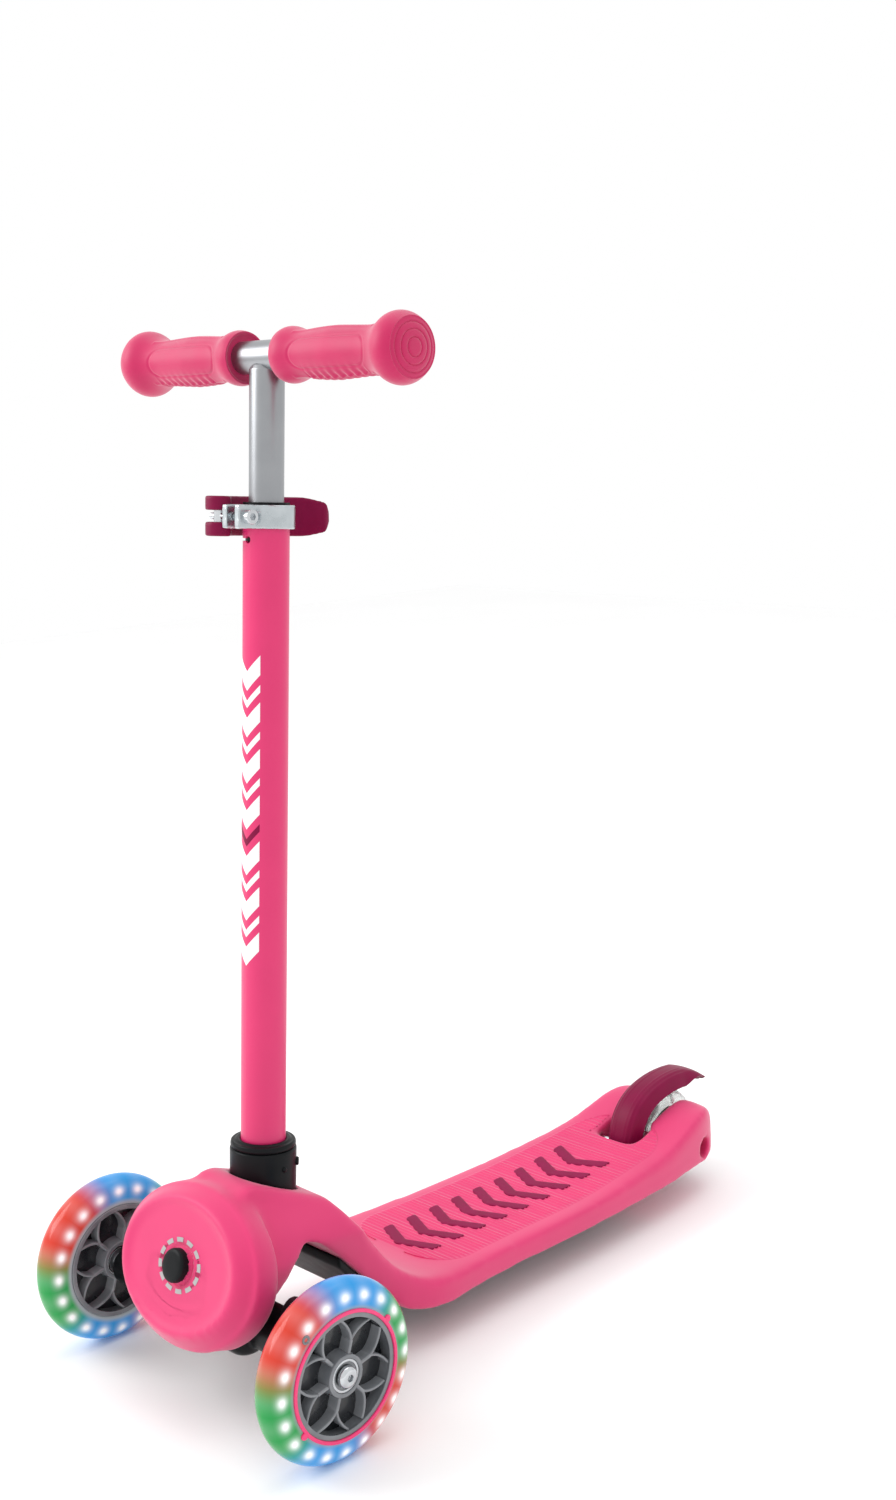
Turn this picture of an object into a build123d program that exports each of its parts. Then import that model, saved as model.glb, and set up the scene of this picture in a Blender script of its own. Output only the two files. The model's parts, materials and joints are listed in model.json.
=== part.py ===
from build123d import *
import os
from math import cos, radians, sin

# A three-wheeled kick scooter. +X is forward, +Y the rider's left, +Z up, in millimetres.
# The origin is on the ground, under the middle of the overall length.

os.makedirs("parts", exist_ok=True)

# ---------------------------------------------------------------- driving dimensions
wheelbase = 477.0
track = 245.0
front_tyre_r = 60.5
rear_tyre_r = 40.0
brake_overhang = 9.0          # how far the brake's tip reaches behind the rear tyre
bar_height = 635.8            # from the bar's datum to the cross tube's axis, along the bar
bar_rake = 4.05               # degrees, leaning back
bar_setback = 41.7            # bar datum behind the front axle
bar_datum_z = 60.5
grip_span = 280.0
height_travel = 110.0         # lowest to highest handlebar position

# ---------------------------------------------------------------- tubes and fits
lower_tube_r = 15.5
lower_tube_wall = 1.8
upper_tube_r = 11.65
upper_tube_wall = 1.8
cross_tube_r = 10.75
cross_tube_wall = 1.6
slide_gap = 0.05              # radial running clearance
free_gap = 0.3                # between curved faces that only pass each other
bolt_r = 4.0
bolt_gap = 0.02
lower_tube_bore_r = lower_tube_r - lower_tube_wall
upper_tube_bore_r = upper_tube_r - upper_tube_wall
cross_tube_bore_r = cross_tube_r - cross_tube_wall

# ---------------------------------------------------------------- stations along the bar
socket_foot = 28.0
cup_foot = 64.0
socket_r = lower_tube_r + 3.5
cup_r = socket_r + 4.0
tube_foot = 32.0
cup_top = 103.3
ring_foot = 103.8
ring_top = 109.0
exposed_tube = 95.7           # upper tube shown below the cross tube's axis, bar lowered
clamp_height = 15.6
lower_tube_top = bar_height - exposed_tube
clamp_foot = lower_tube_top - clamp_height
sleeve_length = 60.0
sleeve_rim = 1.6
bush_length = 20.0
tube_insertion = 285.8        # upper tube below the cross tube's axis
release_station = 92.0
release_azimuth = 135.0
release_r = 3.0

# ---------------------------------------------------------------- wheels
front_tyre_width = 24.0
tyre_depth = 19.5             # front tyre, from tread to rim
front_rim_r = front_tyre_r - tyre_depth
front_rim_width = 25.7
rim_wall = 4.5
hub_r = 14.0
bearing_r = 11.0
bearing_width = 7.0
bearing_inset = 1.0
spoke_count = 6
spoke_wall = 3.0
light_count = 20
rear_tyre_width = 24.0
rear_rim_r = 27.0
rear_rim_width = 22.0
wheel_slot = 15.5             # half width of the slot in the tail

# ---------------------------------------------------------------- steering
steer_tilt = 60.0             # steering axis above the horizontal, degrees
steer_x = -6.0                # a point on the steering axis, from the front axle
steer_z = 58.0
hub_barrel_r = 22.0
hub_barrel_half = 36.0
hub_top = 25.0                # top of the hub along the steering axis
bracket_foot = 26.0           # underside of the bracket along the steering axis
kingpin_top = 34.0
knuckle_in = 74.0
knuckle_out = 88.0
boss_r = 13.5
boss_out = 103.0

# ---------------------------------------------------------------- head
disc_tilt = 20.0              # the front disc faces this far above the horizontal
disc_x = 9.0
disc_z = 95.5
disc_half_width = 74.0
disc_half_height = 54.5
disc_front = 19.0
disc_back = -8.0
disc_round = 12.0
cover_half_width = 59.5
cover_half_height = 40.0
cover_rise = 3.0
button_half_width = 11.0
button_half_height = 11.2
button_travel = 4.5
lock_pin_r = 3.0

front_x = (wheelbase + rear_tyre_r + brake_overhang - front_tyre_r) / 2
rear_x = front_x - wheelbase

rake = radians(bar_rake)
bar = Plane(
    origin=(front_x - bar_setback, 0, bar_datum_z),
    x_dir=(cos(rake), 0, sin(rake)),
    z_dir=(-sin(rake), 0, cos(rake)),
)
tilt = radians(disc_tilt)
disc = Plane(
    origin=(front_x + disc_x, 0, disc_z),
    x_dir=(0, 1, 0),
    z_dir=(cos(tilt), 0, sin(tilt)),
)
steer = radians(steer_tilt)
steering = Plane(
    origin=(front_x + steer_x, 0, steer_z),
    x_dir=(0, 1, 0),
    z_dir=(cos(steer), 0, sin(steer)),
)
head_plane = bar.offset(bar_height)


def front(x, z):
    """A side-view point measured from the front axle."""
    return (front_x + x, z)


def rear(x, z):
    """A side-view point measured from the rear axle."""
    return (rear_x + x, z)


def write(piece, name):
    """Label one finished piece and write its STEP file."""
    piece.label = name
    export_step(piece, "parts/" + name + ".step")


def radial(plane):
    """The half plane beside a plane's axis: local x is the radius, local y runs along the axis."""
    return Plane(origin=plane.origin, x_dir=plane.x_dir, z_dir=plane.x_dir.cross(plane.z_dir))


def turned(plane, outline):
    """A solid of revolution about a plane's axis, from (radius, station) corners."""
    with BuildPart() as piece:
        with BuildSketch(radial(plane)):
            with BuildLine():
                Polyline(*outline, close=True)
            make_face()
        revolve(axis=Axis(plane.origin, plane.z_dir))
    return piece.part


def tube(plane, outer, inner, start, end):
    """A plain tube along a plane's axis."""
    return turned(plane, [(inner, start), (outer, start), (outer, end), (inner, end)])


def bar_side(station, azimuth):
    """A plane on the bar's axis whose normal points out at an azimuth."""
    across = bar.offset(station)
    turn = radians(azimuth)
    out = across.x_dir * cos(turn) + across.y_dir * sin(turn)
    return Plane(origin=across.origin, x_dir=across.z_dir, z_dir=out)


# ================================================================ deck shell
deck_top = [
    front(-72, 128.2), front(-86, 108), front(-102, 85), front(-120, 64.5), front(-142, 52),
    front(-172, 47.5), front(-230, 46.5), rear(140, 47), rear(97, 50.5), rear(49, 57),
    rear(22, 66), rear(0, 72), rear(-15, 70.5), rear(-26, 60), rear(-31, 46), rear(-28, 34.5),
    rear(-15, 28),
]
deck_bottom = [rear(-15, 28), rear(40, 27), front(-170, 27), front(-140, 28.5), front(-121, 34)]
arch = [front(-121, 34), front(-112, 43), front(-66, 91.9), front(-50, 107), front(-39, 111),
        front(-29, 104), front(-21, 96), front(-8, 86), front(0, 83)]
deck_plan = [
    front(10, 60), front(-20, 60), front(-55, 58), front(-90, 59), front(-120, 64),
    front(-150, 69), front(-185, 67), front(-230, 64.5), rear(137, 62.5), rear(88, 60),
    rear(55, 58), rear(25, 54.5), rear(-7, 48), rear(-22, 39), rear(-29.5, 26), rear(-32, 0),
]
shoulder = [(75, 0), (75, 80), (66, 92), (60, 104), (50, 118), (38, 130), (30, 139), (26, 150),
            (26, 165)]
slot_front = 47.0             # front end of the wheel slot, ahead of the rear axle
recess_front = 60.0           # front end of the brake recess
recess_half = 20.0
axle_well_r = 8.5
axle_well_depth = 28.0        # |y| where the axle head's seat lies
bay_half = 42.0
tray_half = 46.0
tray_top = 38.0
tray_front = -128.0
tray_rear = 76.0
screw_r = 2.0
tray_screws = [(front(-145, 0)[0], 38), (rear(220, 0)[0], 36), (rear(100, 0)[0], 36)]
bracket_screw_x = -14.0
bracket_screw_y = 34.0

cover_seat = 2.0
button_well = 12.0
lock_pin_length = 33.0
lock_plane = disc.offset(disc_front + cover_rise)
screw_bite = 6.0
screw_head_r = 3.8
screw_head = 2.6
tray_foot = 27.5
tray_skin = 2.5
tray_rib = 2.0
bracket_top = 112.0
bracket_screw_bite = 12.0
brake_pin_x = 50.0
brake_pin_z = 46.0
brake_pin_r = 2.5
brake_pin_half = 32.0

with BuildPart() as disc_blank:
    with BuildSketch(disc.offset(disc_back)):
        Ellipse(disc_half_width, disc_half_height)
    extrude(amount=disc_front - disc_back)
    fillet(disc_blank.edges().group_by(Axis(disc.origin, disc.z_dir))[-1], disc_round)
    fillet(disc_blank.edges().group_by(Axis(disc.origin, disc.z_dir))[0], 3)

bay = [front(22, 34), front(28.5, 58), front(22, 84), front(16, 100), front(8, 112),
       front(-23.5, 112), front(-23.5, 90), front(-32, 84), front(-32, 34)]
kingpin_bore_r = bolt_r + slide_gap

with BuildPart() as deck_shell:
    with BuildSketch(Plane.XZ):
        with BuildLine():
            Spline(*deck_top)
            Spline(*deck_bottom)
            Polyline(*arch, front(4, 140), front(-14, 149.5), front(-22, 149.5), front(-72, 128.2))
        make_face()
    extrude(amount=90, both=True)
    with BuildSketch():
        with BuildLine():
            Spline(*deck_plan)
            mirror(about=Plane.XZ)
            Line(deck_plan[0], (deck_plan[0][0], -deck_plan[0][1]))
        make_face()
    extrude(amount=180, mode=Mode.INTERSECT)
    with BuildSketch(Plane.YZ):
        with BuildLine():
            Polyline(*shoulder, *[(-y, z) for y, z in reversed(shoulder)], close=True)
        make_face()
    extrude(amount=400, both=True, mode=Mode.INTERSECT)
    add(disc_blank.part)
    # the hollow head, where the truck swings
    with BuildSketch(Plane.XZ):
        Polygon(*bay, align=None)
    extrude(amount=bay_half, both=True, mode=Mode.SUBTRACT)
    # the bar socket's seat
    add(tube(bar, socket_r, 0, socket_foot - 20, cup_foot), mode=Mode.SUBTRACT)
    add(tube(bar, cup_r, 0, cup_foot, cup_top + 30), mode=Mode.SUBTRACT)
    # the wheel slot and the brake recess
    with BuildSketch():
        with Locations(((rear_x + slot_front - 100), 0)):
            Rectangle(200, 2 * wheel_slot)
        with Locations((rear_x + (recess_front + 30) / 2, 0)):
            RectangleRounded(recess_front - 30, 2 * recess_half, 8)
    extrude(amount=120, mode=Mode.SUBTRACT)
    # the axle bore and its two wells
    with BuildSketch(Plane.XZ):
        with Locations(rear(0, rear_tyre_r)):
            Circle(bolt_r)
    extrude(amount=90, both=True, mode=Mode.SUBTRACT)
    for side in (1, -1):
        with BuildSketch(Plane.XZ.offset(-side * axle_well_depth)):
            with Locations(rear(0, rear_tyre_r)):
                Circle(axle_well_r)
        extrude(amount=-side * 60, mode=Mode.SUBTRACT)
    # the underside pocket for the tray
    with BuildSketch():
        with Locations(((front_x + tray_front + rear_x + tray_rear) / 2, 0)):
            RectangleRounded(front_x + tray_front - rear_x - tray_rear, 2 * tray_half, 12)
    extrude(amount=tray_top, mode=Mode.SUBTRACT)

    # the front cover's seat and the lock button's bore
    with BuildSketch(disc.offset(disc_front - cover_seat)):
        Ellipse(cover_half_width, cover_half_height)
    extrude(amount=30, mode=Mode.SUBTRACT)
    with BuildSketch(lock_plane):
        Ellipse(button_half_width + slide_gap, button_half_height + slide_gap)
    extrude(amount=-button_well, mode=Mode.SUBTRACT)
    with BuildSketch(lock_plane):
        Circle(lock_pin_r + slide_gap)
    extrude(amount=-lock_pin_length - button_travel - 4, mode=Mode.SUBTRACT)
    # screw holes for the tray and the steering bracket, and the brake pin's bore
    with BuildSketch():
        for x, y in tray_screws:
            with Locations((x, y), (x, -y)):
                Circle(screw_r)
    extrude(amount=tray_top + screw_bite, mode=Mode.SUBTRACT)
    with BuildSketch(Plane.XY.offset(bracket_top)):
        with Locations((front_x + bracket_screw_x, bracket_screw_y),
                       (front_x + bracket_screw_x, -bracket_screw_y)):
            Circle(screw_r)
    extrude(amount=bracket_screw_bite, mode=Mode.SUBTRACT)
    with BuildSketch(Plane.XZ):
        with Locations(rear(brake_pin_x, brake_pin_z)):
            Circle(brake_pin_r)
    extrude(amount=brake_pin_half, both=True, mode=Mode.SUBTRACT)

write(deck_shell.part, "deck_shell")

# ================================================================ pieces fixed to the deck
with BuildPart() as tray:
    with BuildSketch(Plane.XY.offset(tray_foot)):
        with Locations(((front_x + tray_front + rear_x + tray_rear) / 2, 0)):
            RectangleRounded(
                front_x + tray_front - rear_x - tray_rear - 0.4, 2 * tray_half - 0.4, 11.8
            )
    extrude(amount=tray_skin)
    # lengthwise and crosswise ribs up to the deck's underside
    with BuildSketch(Plane.XY.offset(tray_foot)):
        for y in (-30, -15, 0, 15, 30):
            with Locations(((front_x + tray_front + rear_x + tray_rear) / 2, y)):
                Rectangle(front_x + tray_front - rear_x - tray_rear - 30, tray_rib)
        with GridLocations((front_x + tray_front - rear_x - tray_rear - 30) / 8, 0, 9, 1):
            with Locations(((front_x + tray_front + rear_x + tray_rear) / 2, 0)):
                Rectangle(tray_rib, 76)
        for x, y in tray_screws:
            with Locations((x, y), (x, -y)):
                Circle(screw_r + 2.5)
    extrude(amount=tray_top - tray_foot)
    with BuildSketch(Plane.XY.offset(tray_foot)):
        for x, y in tray_screws:
            with Locations((x, y), (x, -y)):
                Circle(screw_r)
    extrude(amount=30, mode=Mode.SUBTRACT)
    with BuildSketch(Plane.XY.offset(tray_foot)):
        for x, y in tray_screws:
            with Locations((x, y), (x, -y)):
                Circle(screw_head_r + 0.2)
    extrude(amount=screw_head, mode=Mode.SUBTRACT)
write(tray.part, "underframe")

with BuildPart() as arch_liner:
    with BuildSketch(Plane.XZ):
        Polygon(front(-112, 42.8), front(-66.4, 91.3), front(-67.2, 82), front(-109.5, 36.5),
                align=None)
    extrude(amount=54, both=True)
write(arch_liner.part, "arch_liner")

with BuildPart() as tray_screw_set:
    for x, y in tray_screws:
        for side in (1, -1):
            with BuildSketch(Plane.XY.offset(tray_foot)):
                with Locations((x, side * y)):
                    Circle(screw_head_r)
            extrude(amount=screw_head)
            with BuildSketch(Plane.XY.offset(tray_foot + screw_head)):
                with Locations((x, side * y)):
                    Circle(screw_r)
            extrude(amount=tray_top + screw_bite - tray_foot - screw_head)
write(tray_screw_set.part, "underframe_screws")

with BuildPart() as front_cover:
    with BuildSketch(disc.offset(disc_front - cover_seat)):
        Ellipse(cover_half_width - 0.1, cover_half_height - 0.1)
    extrude(amount=cover_seat + cover_rise)
    fillet(front_cover.edges().group_by(Axis(disc.origin, disc.z_dir))[-1], cover_rise - 0.2)
    with BuildSketch(lock_plane):
        Ellipse(button_half_width + slide_gap, button_half_height + slide_gap)
    extrude(amount=-30, mode=Mode.SUBTRACT)
write(front_cover.part, "front_cover")

with BuildPart() as bar_socket:
    add(turned(bar, [(lower_tube_r, socket_foot), (socket_r, socket_foot), (socket_r, cup_foot),
                     (cup_r, cup_foot), (cup_r, cup_top), (lower_tube_r, cup_top)]))
    with BuildSketch(bar.offset(socket_foot)):
        Circle(lower_tube_r)
    extrude(amount=tube_foot - socket_foot)
    with BuildSketch(bar_side(release_station, release_azimuth)):
        Circle(release_r + slide_gap)
    extrude(amount=30, mode=Mode.SUBTRACT)
write(bar_socket.part, "bar_socket")

with BuildPart() as collar_ring:
    add(turned(bar, [
        (lower_tube_r, cup_top), (cup_r - 0.6, cup_top), (cup_r - 0.2, ring_foot),
        (cup_r, ring_foot + 1.2), (cup_r - 0.8, ring_foot + 2.8), (cup_r - 2.4, ring_foot + 4.0),
        (cup_r - 4.6, ring_top - 0.4), (cup_r - 6, ring_top), (lower_tube_r, ring_top),
    ]))
write(collar_ring.part, "collar_ring")

keyhole_station = clamp_foot - 9.6
keyhole_r = 2.4
relief_slot = 1.8

with BuildPart() as lower_tube:
    add(tube(bar, lower_tube_r, lower_tube_bore_r, tube_foot, lower_tube_top))
    with BuildSketch(bar_side(keyhole_station + keyhole_r, 0)):
        Circle(keyhole_r)
        with Locations((0, (lower_tube_top - keyhole_station) / 2)):
            Rectangle(relief_slot, lower_tube_top - keyhole_station)
    extrude(amount=30, mode=Mode.SUBTRACT)
    with BuildSketch(bar_side(release_station, release_azimuth)):
        Circle(release_r + slide_gap)
    extrude(amount=30, mode=Mode.SUBTRACT)
write(lower_tube.part, "lower_tube")

with BuildPart() as guide_sleeve:
    add(turned(bar, [
        (upper_tube_r + slide_gap, lower_tube_top - sleeve_length),
        (lower_tube_bore_r, lower_tube_top - sleeve_length),
        (lower_tube_bore_r, lower_tube_top), (lower_tube_r, lower_tube_top),
        (lower_tube_r, lower_tube_top + sleeve_rim),
        (upper_tube_r + slide_gap, lower_tube_top + sleeve_rim),
    ]))
write(guide_sleeve.part, "guide_sleeve")

# ================================================================ clamp
band_r = lower_tube_r + 3.5
clamp_bolt_x = band_r + 4.0
lug_reach = clamp_bolt_x + 7.0
lug_in = 4.0
lug_out = 9.0
clamp_bolt_r = 2.5
lug_root = 12.0
clamp_mid = clamp_foot + clamp_height / 2
barrel_y = lug_out + 11.0
barrel_r = 4.0
lever_half = 13.2
lever_wall = 5.0
cam_r = 9.6
lever_span = band_r + 67.0
lever_front = band_r + 33.6
cap_head_r = 4.8
cap_head = 5.6
clamp_end = bar.offset(clamp_mid)
bolt_line = Plane(
    origin=clamp_end.from_local_coords((clamp_bolt_x, 0, 0)),
    x_dir=clamp_end.x_dir,
    z_dir=(0, 1, 0),
)

with BuildPart() as clamp_band:
    with BuildSketch(bar.offset(clamp_foot)):
        Circle(band_r)
        with Locations(((lug_reach + lug_root) / 2, 0)):
            Rectangle(lug_reach - lug_root, 2 * lug_out)
        Circle(lower_tube_r, mode=Mode.SUBTRACT)
        with Locations((lug_reach / 2, 0)):
            Rectangle(lug_reach + 2, 2 * lug_in, mode=Mode.SUBTRACT)
    extrude(amount=clamp_height)
    with BuildSketch(bolt_line):
        Circle(clamp_bolt_r)
    extrude(amount=40, both=True, mode=Mode.SUBTRACT)
write(clamp_band.part, "clamp_band")

with BuildPart() as clamp_bolt:
    with BuildSketch(bolt_line.offset(lug_out)):
        Circle(cap_head_r)
    extrude(amount=cap_head)
    fillet(clamp_bolt.faces().sort_by(Axis.Y)[-1].edges(), 0.6)
    with BuildSketch(bolt_line.offset(lug_out + cap_head)):
        RegularPolygon(2.6, 6)
    extrude(amount=-3, mode=Mode.SUBTRACT)
    with BuildSketch(bolt_line.offset(lug_out)):
        Circle(clamp_bolt_r)
    extrude(amount=-(lug_out + barrel_y + 8))
write(clamp_bolt.part, "clamp_bolt")

with BuildPart() as clamp_washer:
    with BuildSketch(bolt_line.offset(-lug_out - 1)):
        Circle(5)
        Circle(clamp_bolt_r, mode=Mode.SUBTRACT)
    extrude(amount=1)
write(clamp_washer.part, "clamp_washer")

barrel_axis = Plane(
    origin=clamp_end.from_local_coords((clamp_bolt_x, -barrel_y, 0)),
    x_dir=bar.x_dir,
    z_dir=bar.z_dir,
)
fork_slot = 3.8

with BuildPart() as barrel_nut:
    with BuildSketch(barrel_axis.offset(-lever_half + 1)):
        Circle(barrel_r)
    extrude(amount=2 * lever_half - 2)
    with BuildSketch(bolt_line):
        Circle(clamp_bolt_r)
    extrude(amount=-60, mode=Mode.SUBTRACT)
write(barrel_nut.part, "barrel_nut")

with BuildPart() as clamp_lever:
    with BuildSketch(bar.offset(clamp_mid - lever_half)):
        with BuildLine():
            Spline((clamp_bolt_x, -barrel_y), (12, -band_r - 7.5), (-6, -band_r - 10),
                   (-24, -band_r - 6.5), (-band_r - 21, -14), (-band_r - 31, 4))
        trace(line_width=lever_wall)
        with Locations((clamp_bolt_x, -barrel_y)):
            Circle(cam_r)
        Circle(band_r + 4.5, mode=Mode.SUBTRACT)
    extrude(amount=2 * lever_half)
    # rounded finger end
    with BuildSketch(Plane(origin=clamp_end.origin, x_dir=bar.x_dir, z_dir=(0, -1, 0))):
        with Locations((lever_front - lever_span / 2 - cam_r, 0)):
            SlotOverall(lever_span + 2 * cam_r, 2 * lever_half)
        with Locations((30, 0)):
            Rectangle(60, 2 * lever_half)
    extrude(amount=60, both=True, mode=Mode.INTERSECT)
    with BuildSketch(barrel_axis.offset(-lever_half - 1)):
        Circle(barrel_r + slide_gap)
    extrude(amount=2 * lever_half + 2, mode=Mode.SUBTRACT)
    # the fork's slot lets the bolt through while the lever swings
    with BuildSketch(barrel_axis.offset(-fork_slot)):
        Circle(cam_r + 3)
    extrude(amount=2 * fork_slot, mode=Mode.SUBTRACT)
write(clamp_lever.part, "clamp_lever")

# ================================================================ handlebar
with BuildPart() as upper_tube:
    add(tube(bar, upper_tube_r, upper_tube_bore_r, bar_height - tube_insertion,
             bar_height - cross_tube_r / 2))
    with BuildSketch(Plane.XZ):
        with Locations((head_plane.origin.X, head_plane.origin.Z)):
            Circle(cross_tube_r)
    extrude(amount=30, both=True, mode=Mode.SUBTRACT)
write(upper_tube.part, "upper_tube")

with BuildPart() as guide_bush:
    add(turned(bar, [
        (4, bar_height - tube_insertion - 6), (lower_tube_bore_r - slide_gap,
         bar_height - tube_insertion - 6),
        (lower_tube_bore_r - slide_gap, bar_height - tube_insertion),
        (upper_tube_bore_r, bar_height - tube_insertion),
        (upper_tube_bore_r, bar_height - tube_insertion + bush_length - 6),
        (4, bar_height - tube_insertion + bush_length - 6),
    ]))
write(guide_bush.part, "guide_bush")

bar_end = 134.0
cross = Plane(origin=head_plane.origin, x_dir=(1, 0, 0), z_dir=(0, 1, 0))

with BuildPart() as cross_tube:
    add(tube(cross, cross_tube_r, cross_tube_bore_r, -bar_end, bar_end))
write(cross_tube.part, "cross_tube")

grip_in = 22.0
grip_half_span = grip_span / 2


def make_grip(side):
    """A moulded grip: inner collar, swelling palm, and a wide closed outer end."""
    line = Plane(origin=cross.origin, x_dir=(1, 0, 0), z_dir=(0, side, 0))
    with BuildPart() as grip:
        with BuildSketch(radial(line)):
            with BuildLine():
                Polyline((0, bar_end), (cross_tube_r, bar_end), (cross_tube_r, grip_in),
                         (16.5, grip_in))
                Spline((16.5, grip_in), (18.6, grip_in + 3.5), (17.4, grip_in + 9),
                       (14.9, grip_in + 16), (15.8, grip_in + 32), (16.6, grip_in + 50),
                       (15.6, grip_in + 70), (15.2, grip_in + 86), (18.2, grip_in + 97),
                       (22.2, grip_in + 104), (22.9, grip_half_span - 10),
                       (20.6, grip_half_span - 3.5), (15.5, grip_half_span - 0.6),
                       (0, grip_half_span))
                Line((0, grip_half_span), (0, bar_end))
            make_face()
        revolve(axis=Axis(line.origin, line.z_dir))
    return grip.part


write(make_grip(1), "grip_left")
write(make_grip(-1), "grip_right")

# ================================================================ steering
spring_y = 26.0
spring_r = 5.0
spring_wire = 0.8
spring_foot = 22.6
spring_top = 38.0
spring_turns = 5
kingpin_head_r = 7.0
kingpin_head = 4.0
kingpin_seat = -16.0
bushing_r = 6.5
bushing_flange_r = 9.0
bushing_flange = 2.0
hub_plate_foot = 17.0
hub_plate_back = 26.0
hub_plate_front = 10.0
hub_plate_half = 33.0
arm_back = 11.0
arm_z = 58.5

with BuildPart() as truck_beam:
    with BuildSketch(Plane.XZ):
        with Locations((front_x + steer_x, steer_z)):
            Circle(hub_barrel_r)
    extrude(amount=hub_barrel_half, both=True)
    fillet(truck_beam.edges().filter_by(GeomType.CIRCLE), 6)
    # oval arms
    with BuildSketch(Plane.XZ):
        with Locations(Location((front_x - arm_back, arm_z), 20)):
            Ellipse(11, 17)
    extrude(amount=knuckle_in + 4, both=True)
    # the hub plate, square to the steering axis
    with BuildSketch(steering.offset(hub_plate_foot)):
        with Locations((0, (hub_plate_back - hub_plate_front) / 2)):
            RectangleRounded(2 * hub_plate_half, hub_plate_back + hub_plate_front, 8)
    extrude(amount=hub_top - hub_plate_foot)
    for side in (1, -1):
        with BuildSketch(Plane.XZ.offset(-side * knuckle_in)):
            with Locations((front_x - 7, 65)):
                Ellipse(14, 27)
        extrude(amount=-side * (knuckle_out - knuckle_in))
        with BuildSketch(Plane.XZ.offset(-side * (knuckle_in + 4))):
            with Locations(front(0, front_tyre_r)):
                Circle(boss_r)
        extrude(amount=-side * (boss_out - knuckle_in - 4))
        # threaded bore for the axle bolt
        with BuildSketch(Plane.XZ.offset(-side * (boss_out - 26))):
            with Locations(front(0, front_tyre_r)):
                Circle(bolt_r)
        extrude(amount=-side * 30, mode=Mode.SUBTRACT)
    # kingpin bore, head well and bushing seats
    add(turned(steering, [
        (0, -40), (kingpin_head_r + 1, -40), (kingpin_head_r + 1, kingpin_seat),
        (bushing_r, kingpin_seat), (bushing_r, -4), (bolt_r + 0.5, -4), (bolt_r + 0.5, 6),
        (bushing_r, 6), (bushing_r, hub_top - bushing_flange),
        (bushing_flange_r, hub_top - bushing_flange), (bushing_flange_r, hub_top + 5),
        (0, hub_top + 5),
    ]), mode=Mode.SUBTRACT)
    # spring seats
    for side in (1, -1):
        with BuildSketch(steering.offset(hub_top)):
            with Locations((side * spring_y, 0)):
                Circle(spring_r + 1.5)
        extrude(amount=spring_foot - hub_top, mode=Mode.SUBTRACT)
    # the hole that the lock bolt drops into
    with BuildSketch(lock_plane):
        Circle(lock_pin_r + 0.4)
    extrude(amount=-60, mode=Mode.SUBTRACT)
write(truck_beam.part, "truck_beam")

with BuildPart() as pivot_bushings:
    add(turned(steering, [
        (kingpin_bore_r, 6), (bushing_r, 6), (bushing_r, hub_top - bushing_flange),
        (bushing_flange_r, hub_top - bushing_flange), (bushing_flange_r, hub_top + 0.7),
        (kingpin_bore_r, hub_top + 0.7),
    ]))
    add(tube(steering, bushing_r, kingpin_bore_r, kingpin_seat, -4))
write(pivot_bushings.part, "pivot_bushings")

with BuildPart() as kingpin:
    add(tube(steering, bolt_r, 0, kingpin_seat - 0.5, kingpin_top))
    add(tube(steering, kingpin_head_r, 0, kingpin_seat - 0.3 - kingpin_head, kingpin_seat - 0.3))
    with BuildSketch(steering.offset(kingpin_seat - 0.3 - kingpin_head)):
        RegularPolygon(4, 6)
    extrude(amount=2.4, mode=Mode.SUBTRACT)
write(kingpin.part, "kingpin")


def steer_point(across, along):
    """Side-view point given across and along the steering axis."""
    return (front_x + steer_x + along * cos(steer) - across * sin(steer),
            steer_z + along * sin(steer) + across * cos(steer))


with BuildPart() as steering_bracket:
    with BuildSketch(Plane.XZ):
        Polygon(steer_point(-10, bracket_foot), steer_point(19.2, bracket_foot),
                front(-23, 112), front(5, 112), front(12, 104), front(18, 86), align=None)
    extrude(amount=bay_half, both=True)
    with BuildSketch(steering.offset(bracket_foot)):
        Circle(bolt_r)
    extrude(amount=kingpin_top - bracket_foot, mode=Mode.SUBTRACT)
    for side in (1, -1):
        with BuildSketch(steering.offset(bracket_foot)):
            with Locations((side * spring_y, 0)):
                Circle(spring_r + 1.5)
        extrude(amount=spring_top - bracket_foot, mode=Mode.SUBTRACT)
    with BuildSketch(lock_plane):
        Circle(lock_pin_r + slide_gap)
    extrude(amount=-60, mode=Mode.SUBTRACT)
    with BuildSketch(lock_plane):
        Ellipse(button_half_width + slide_gap, button_half_height + slide_gap)
    extrude(amount=-button_well, mode=Mode.SUBTRACT)
    with BuildSketch(Plane.XY.offset(bracket_top)):
        with Locations((front_x + bracket_screw_x, bracket_screw_y),
                       (front_x + bracket_screw_x, -bracket_screw_y)):
            Circle(screw_r)
    extrude(amount=-40, mode=Mode.SUBTRACT)
    with BuildSketch(Plane.XY.offset(bracket_top - 12)):
        with Locations((front_x + bracket_screw_x, bracket_screw_y),
                       (front_x + bracket_screw_x, -bracket_screw_y)):
            Circle(screw_head_r + 0.2)
    extrude(amount=-40, mode=Mode.SUBTRACT)
write(steering_bracket.part, "steering_bracket")

with BuildPart() as bracket_screw_set:
    for side in (1, -1):
        with BuildSketch(Plane.XY.offset(bracket_top - 12 - screw_head)):
            with Locations((front_x + bracket_screw_x, side * bracket_screw_y)):
                Circle(screw_head_r)
        extrude(amount=screw_head)
        with BuildSketch(Plane.XY.offset(bracket_top - 12)):
            with Locations((front_x + bracket_screw_x, side * bracket_screw_y)):
                Circle(screw_r)
        extrude(amount=12 + bracket_screw_bite)
write(bracket_screw_set.part, "bracket_screws")


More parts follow.
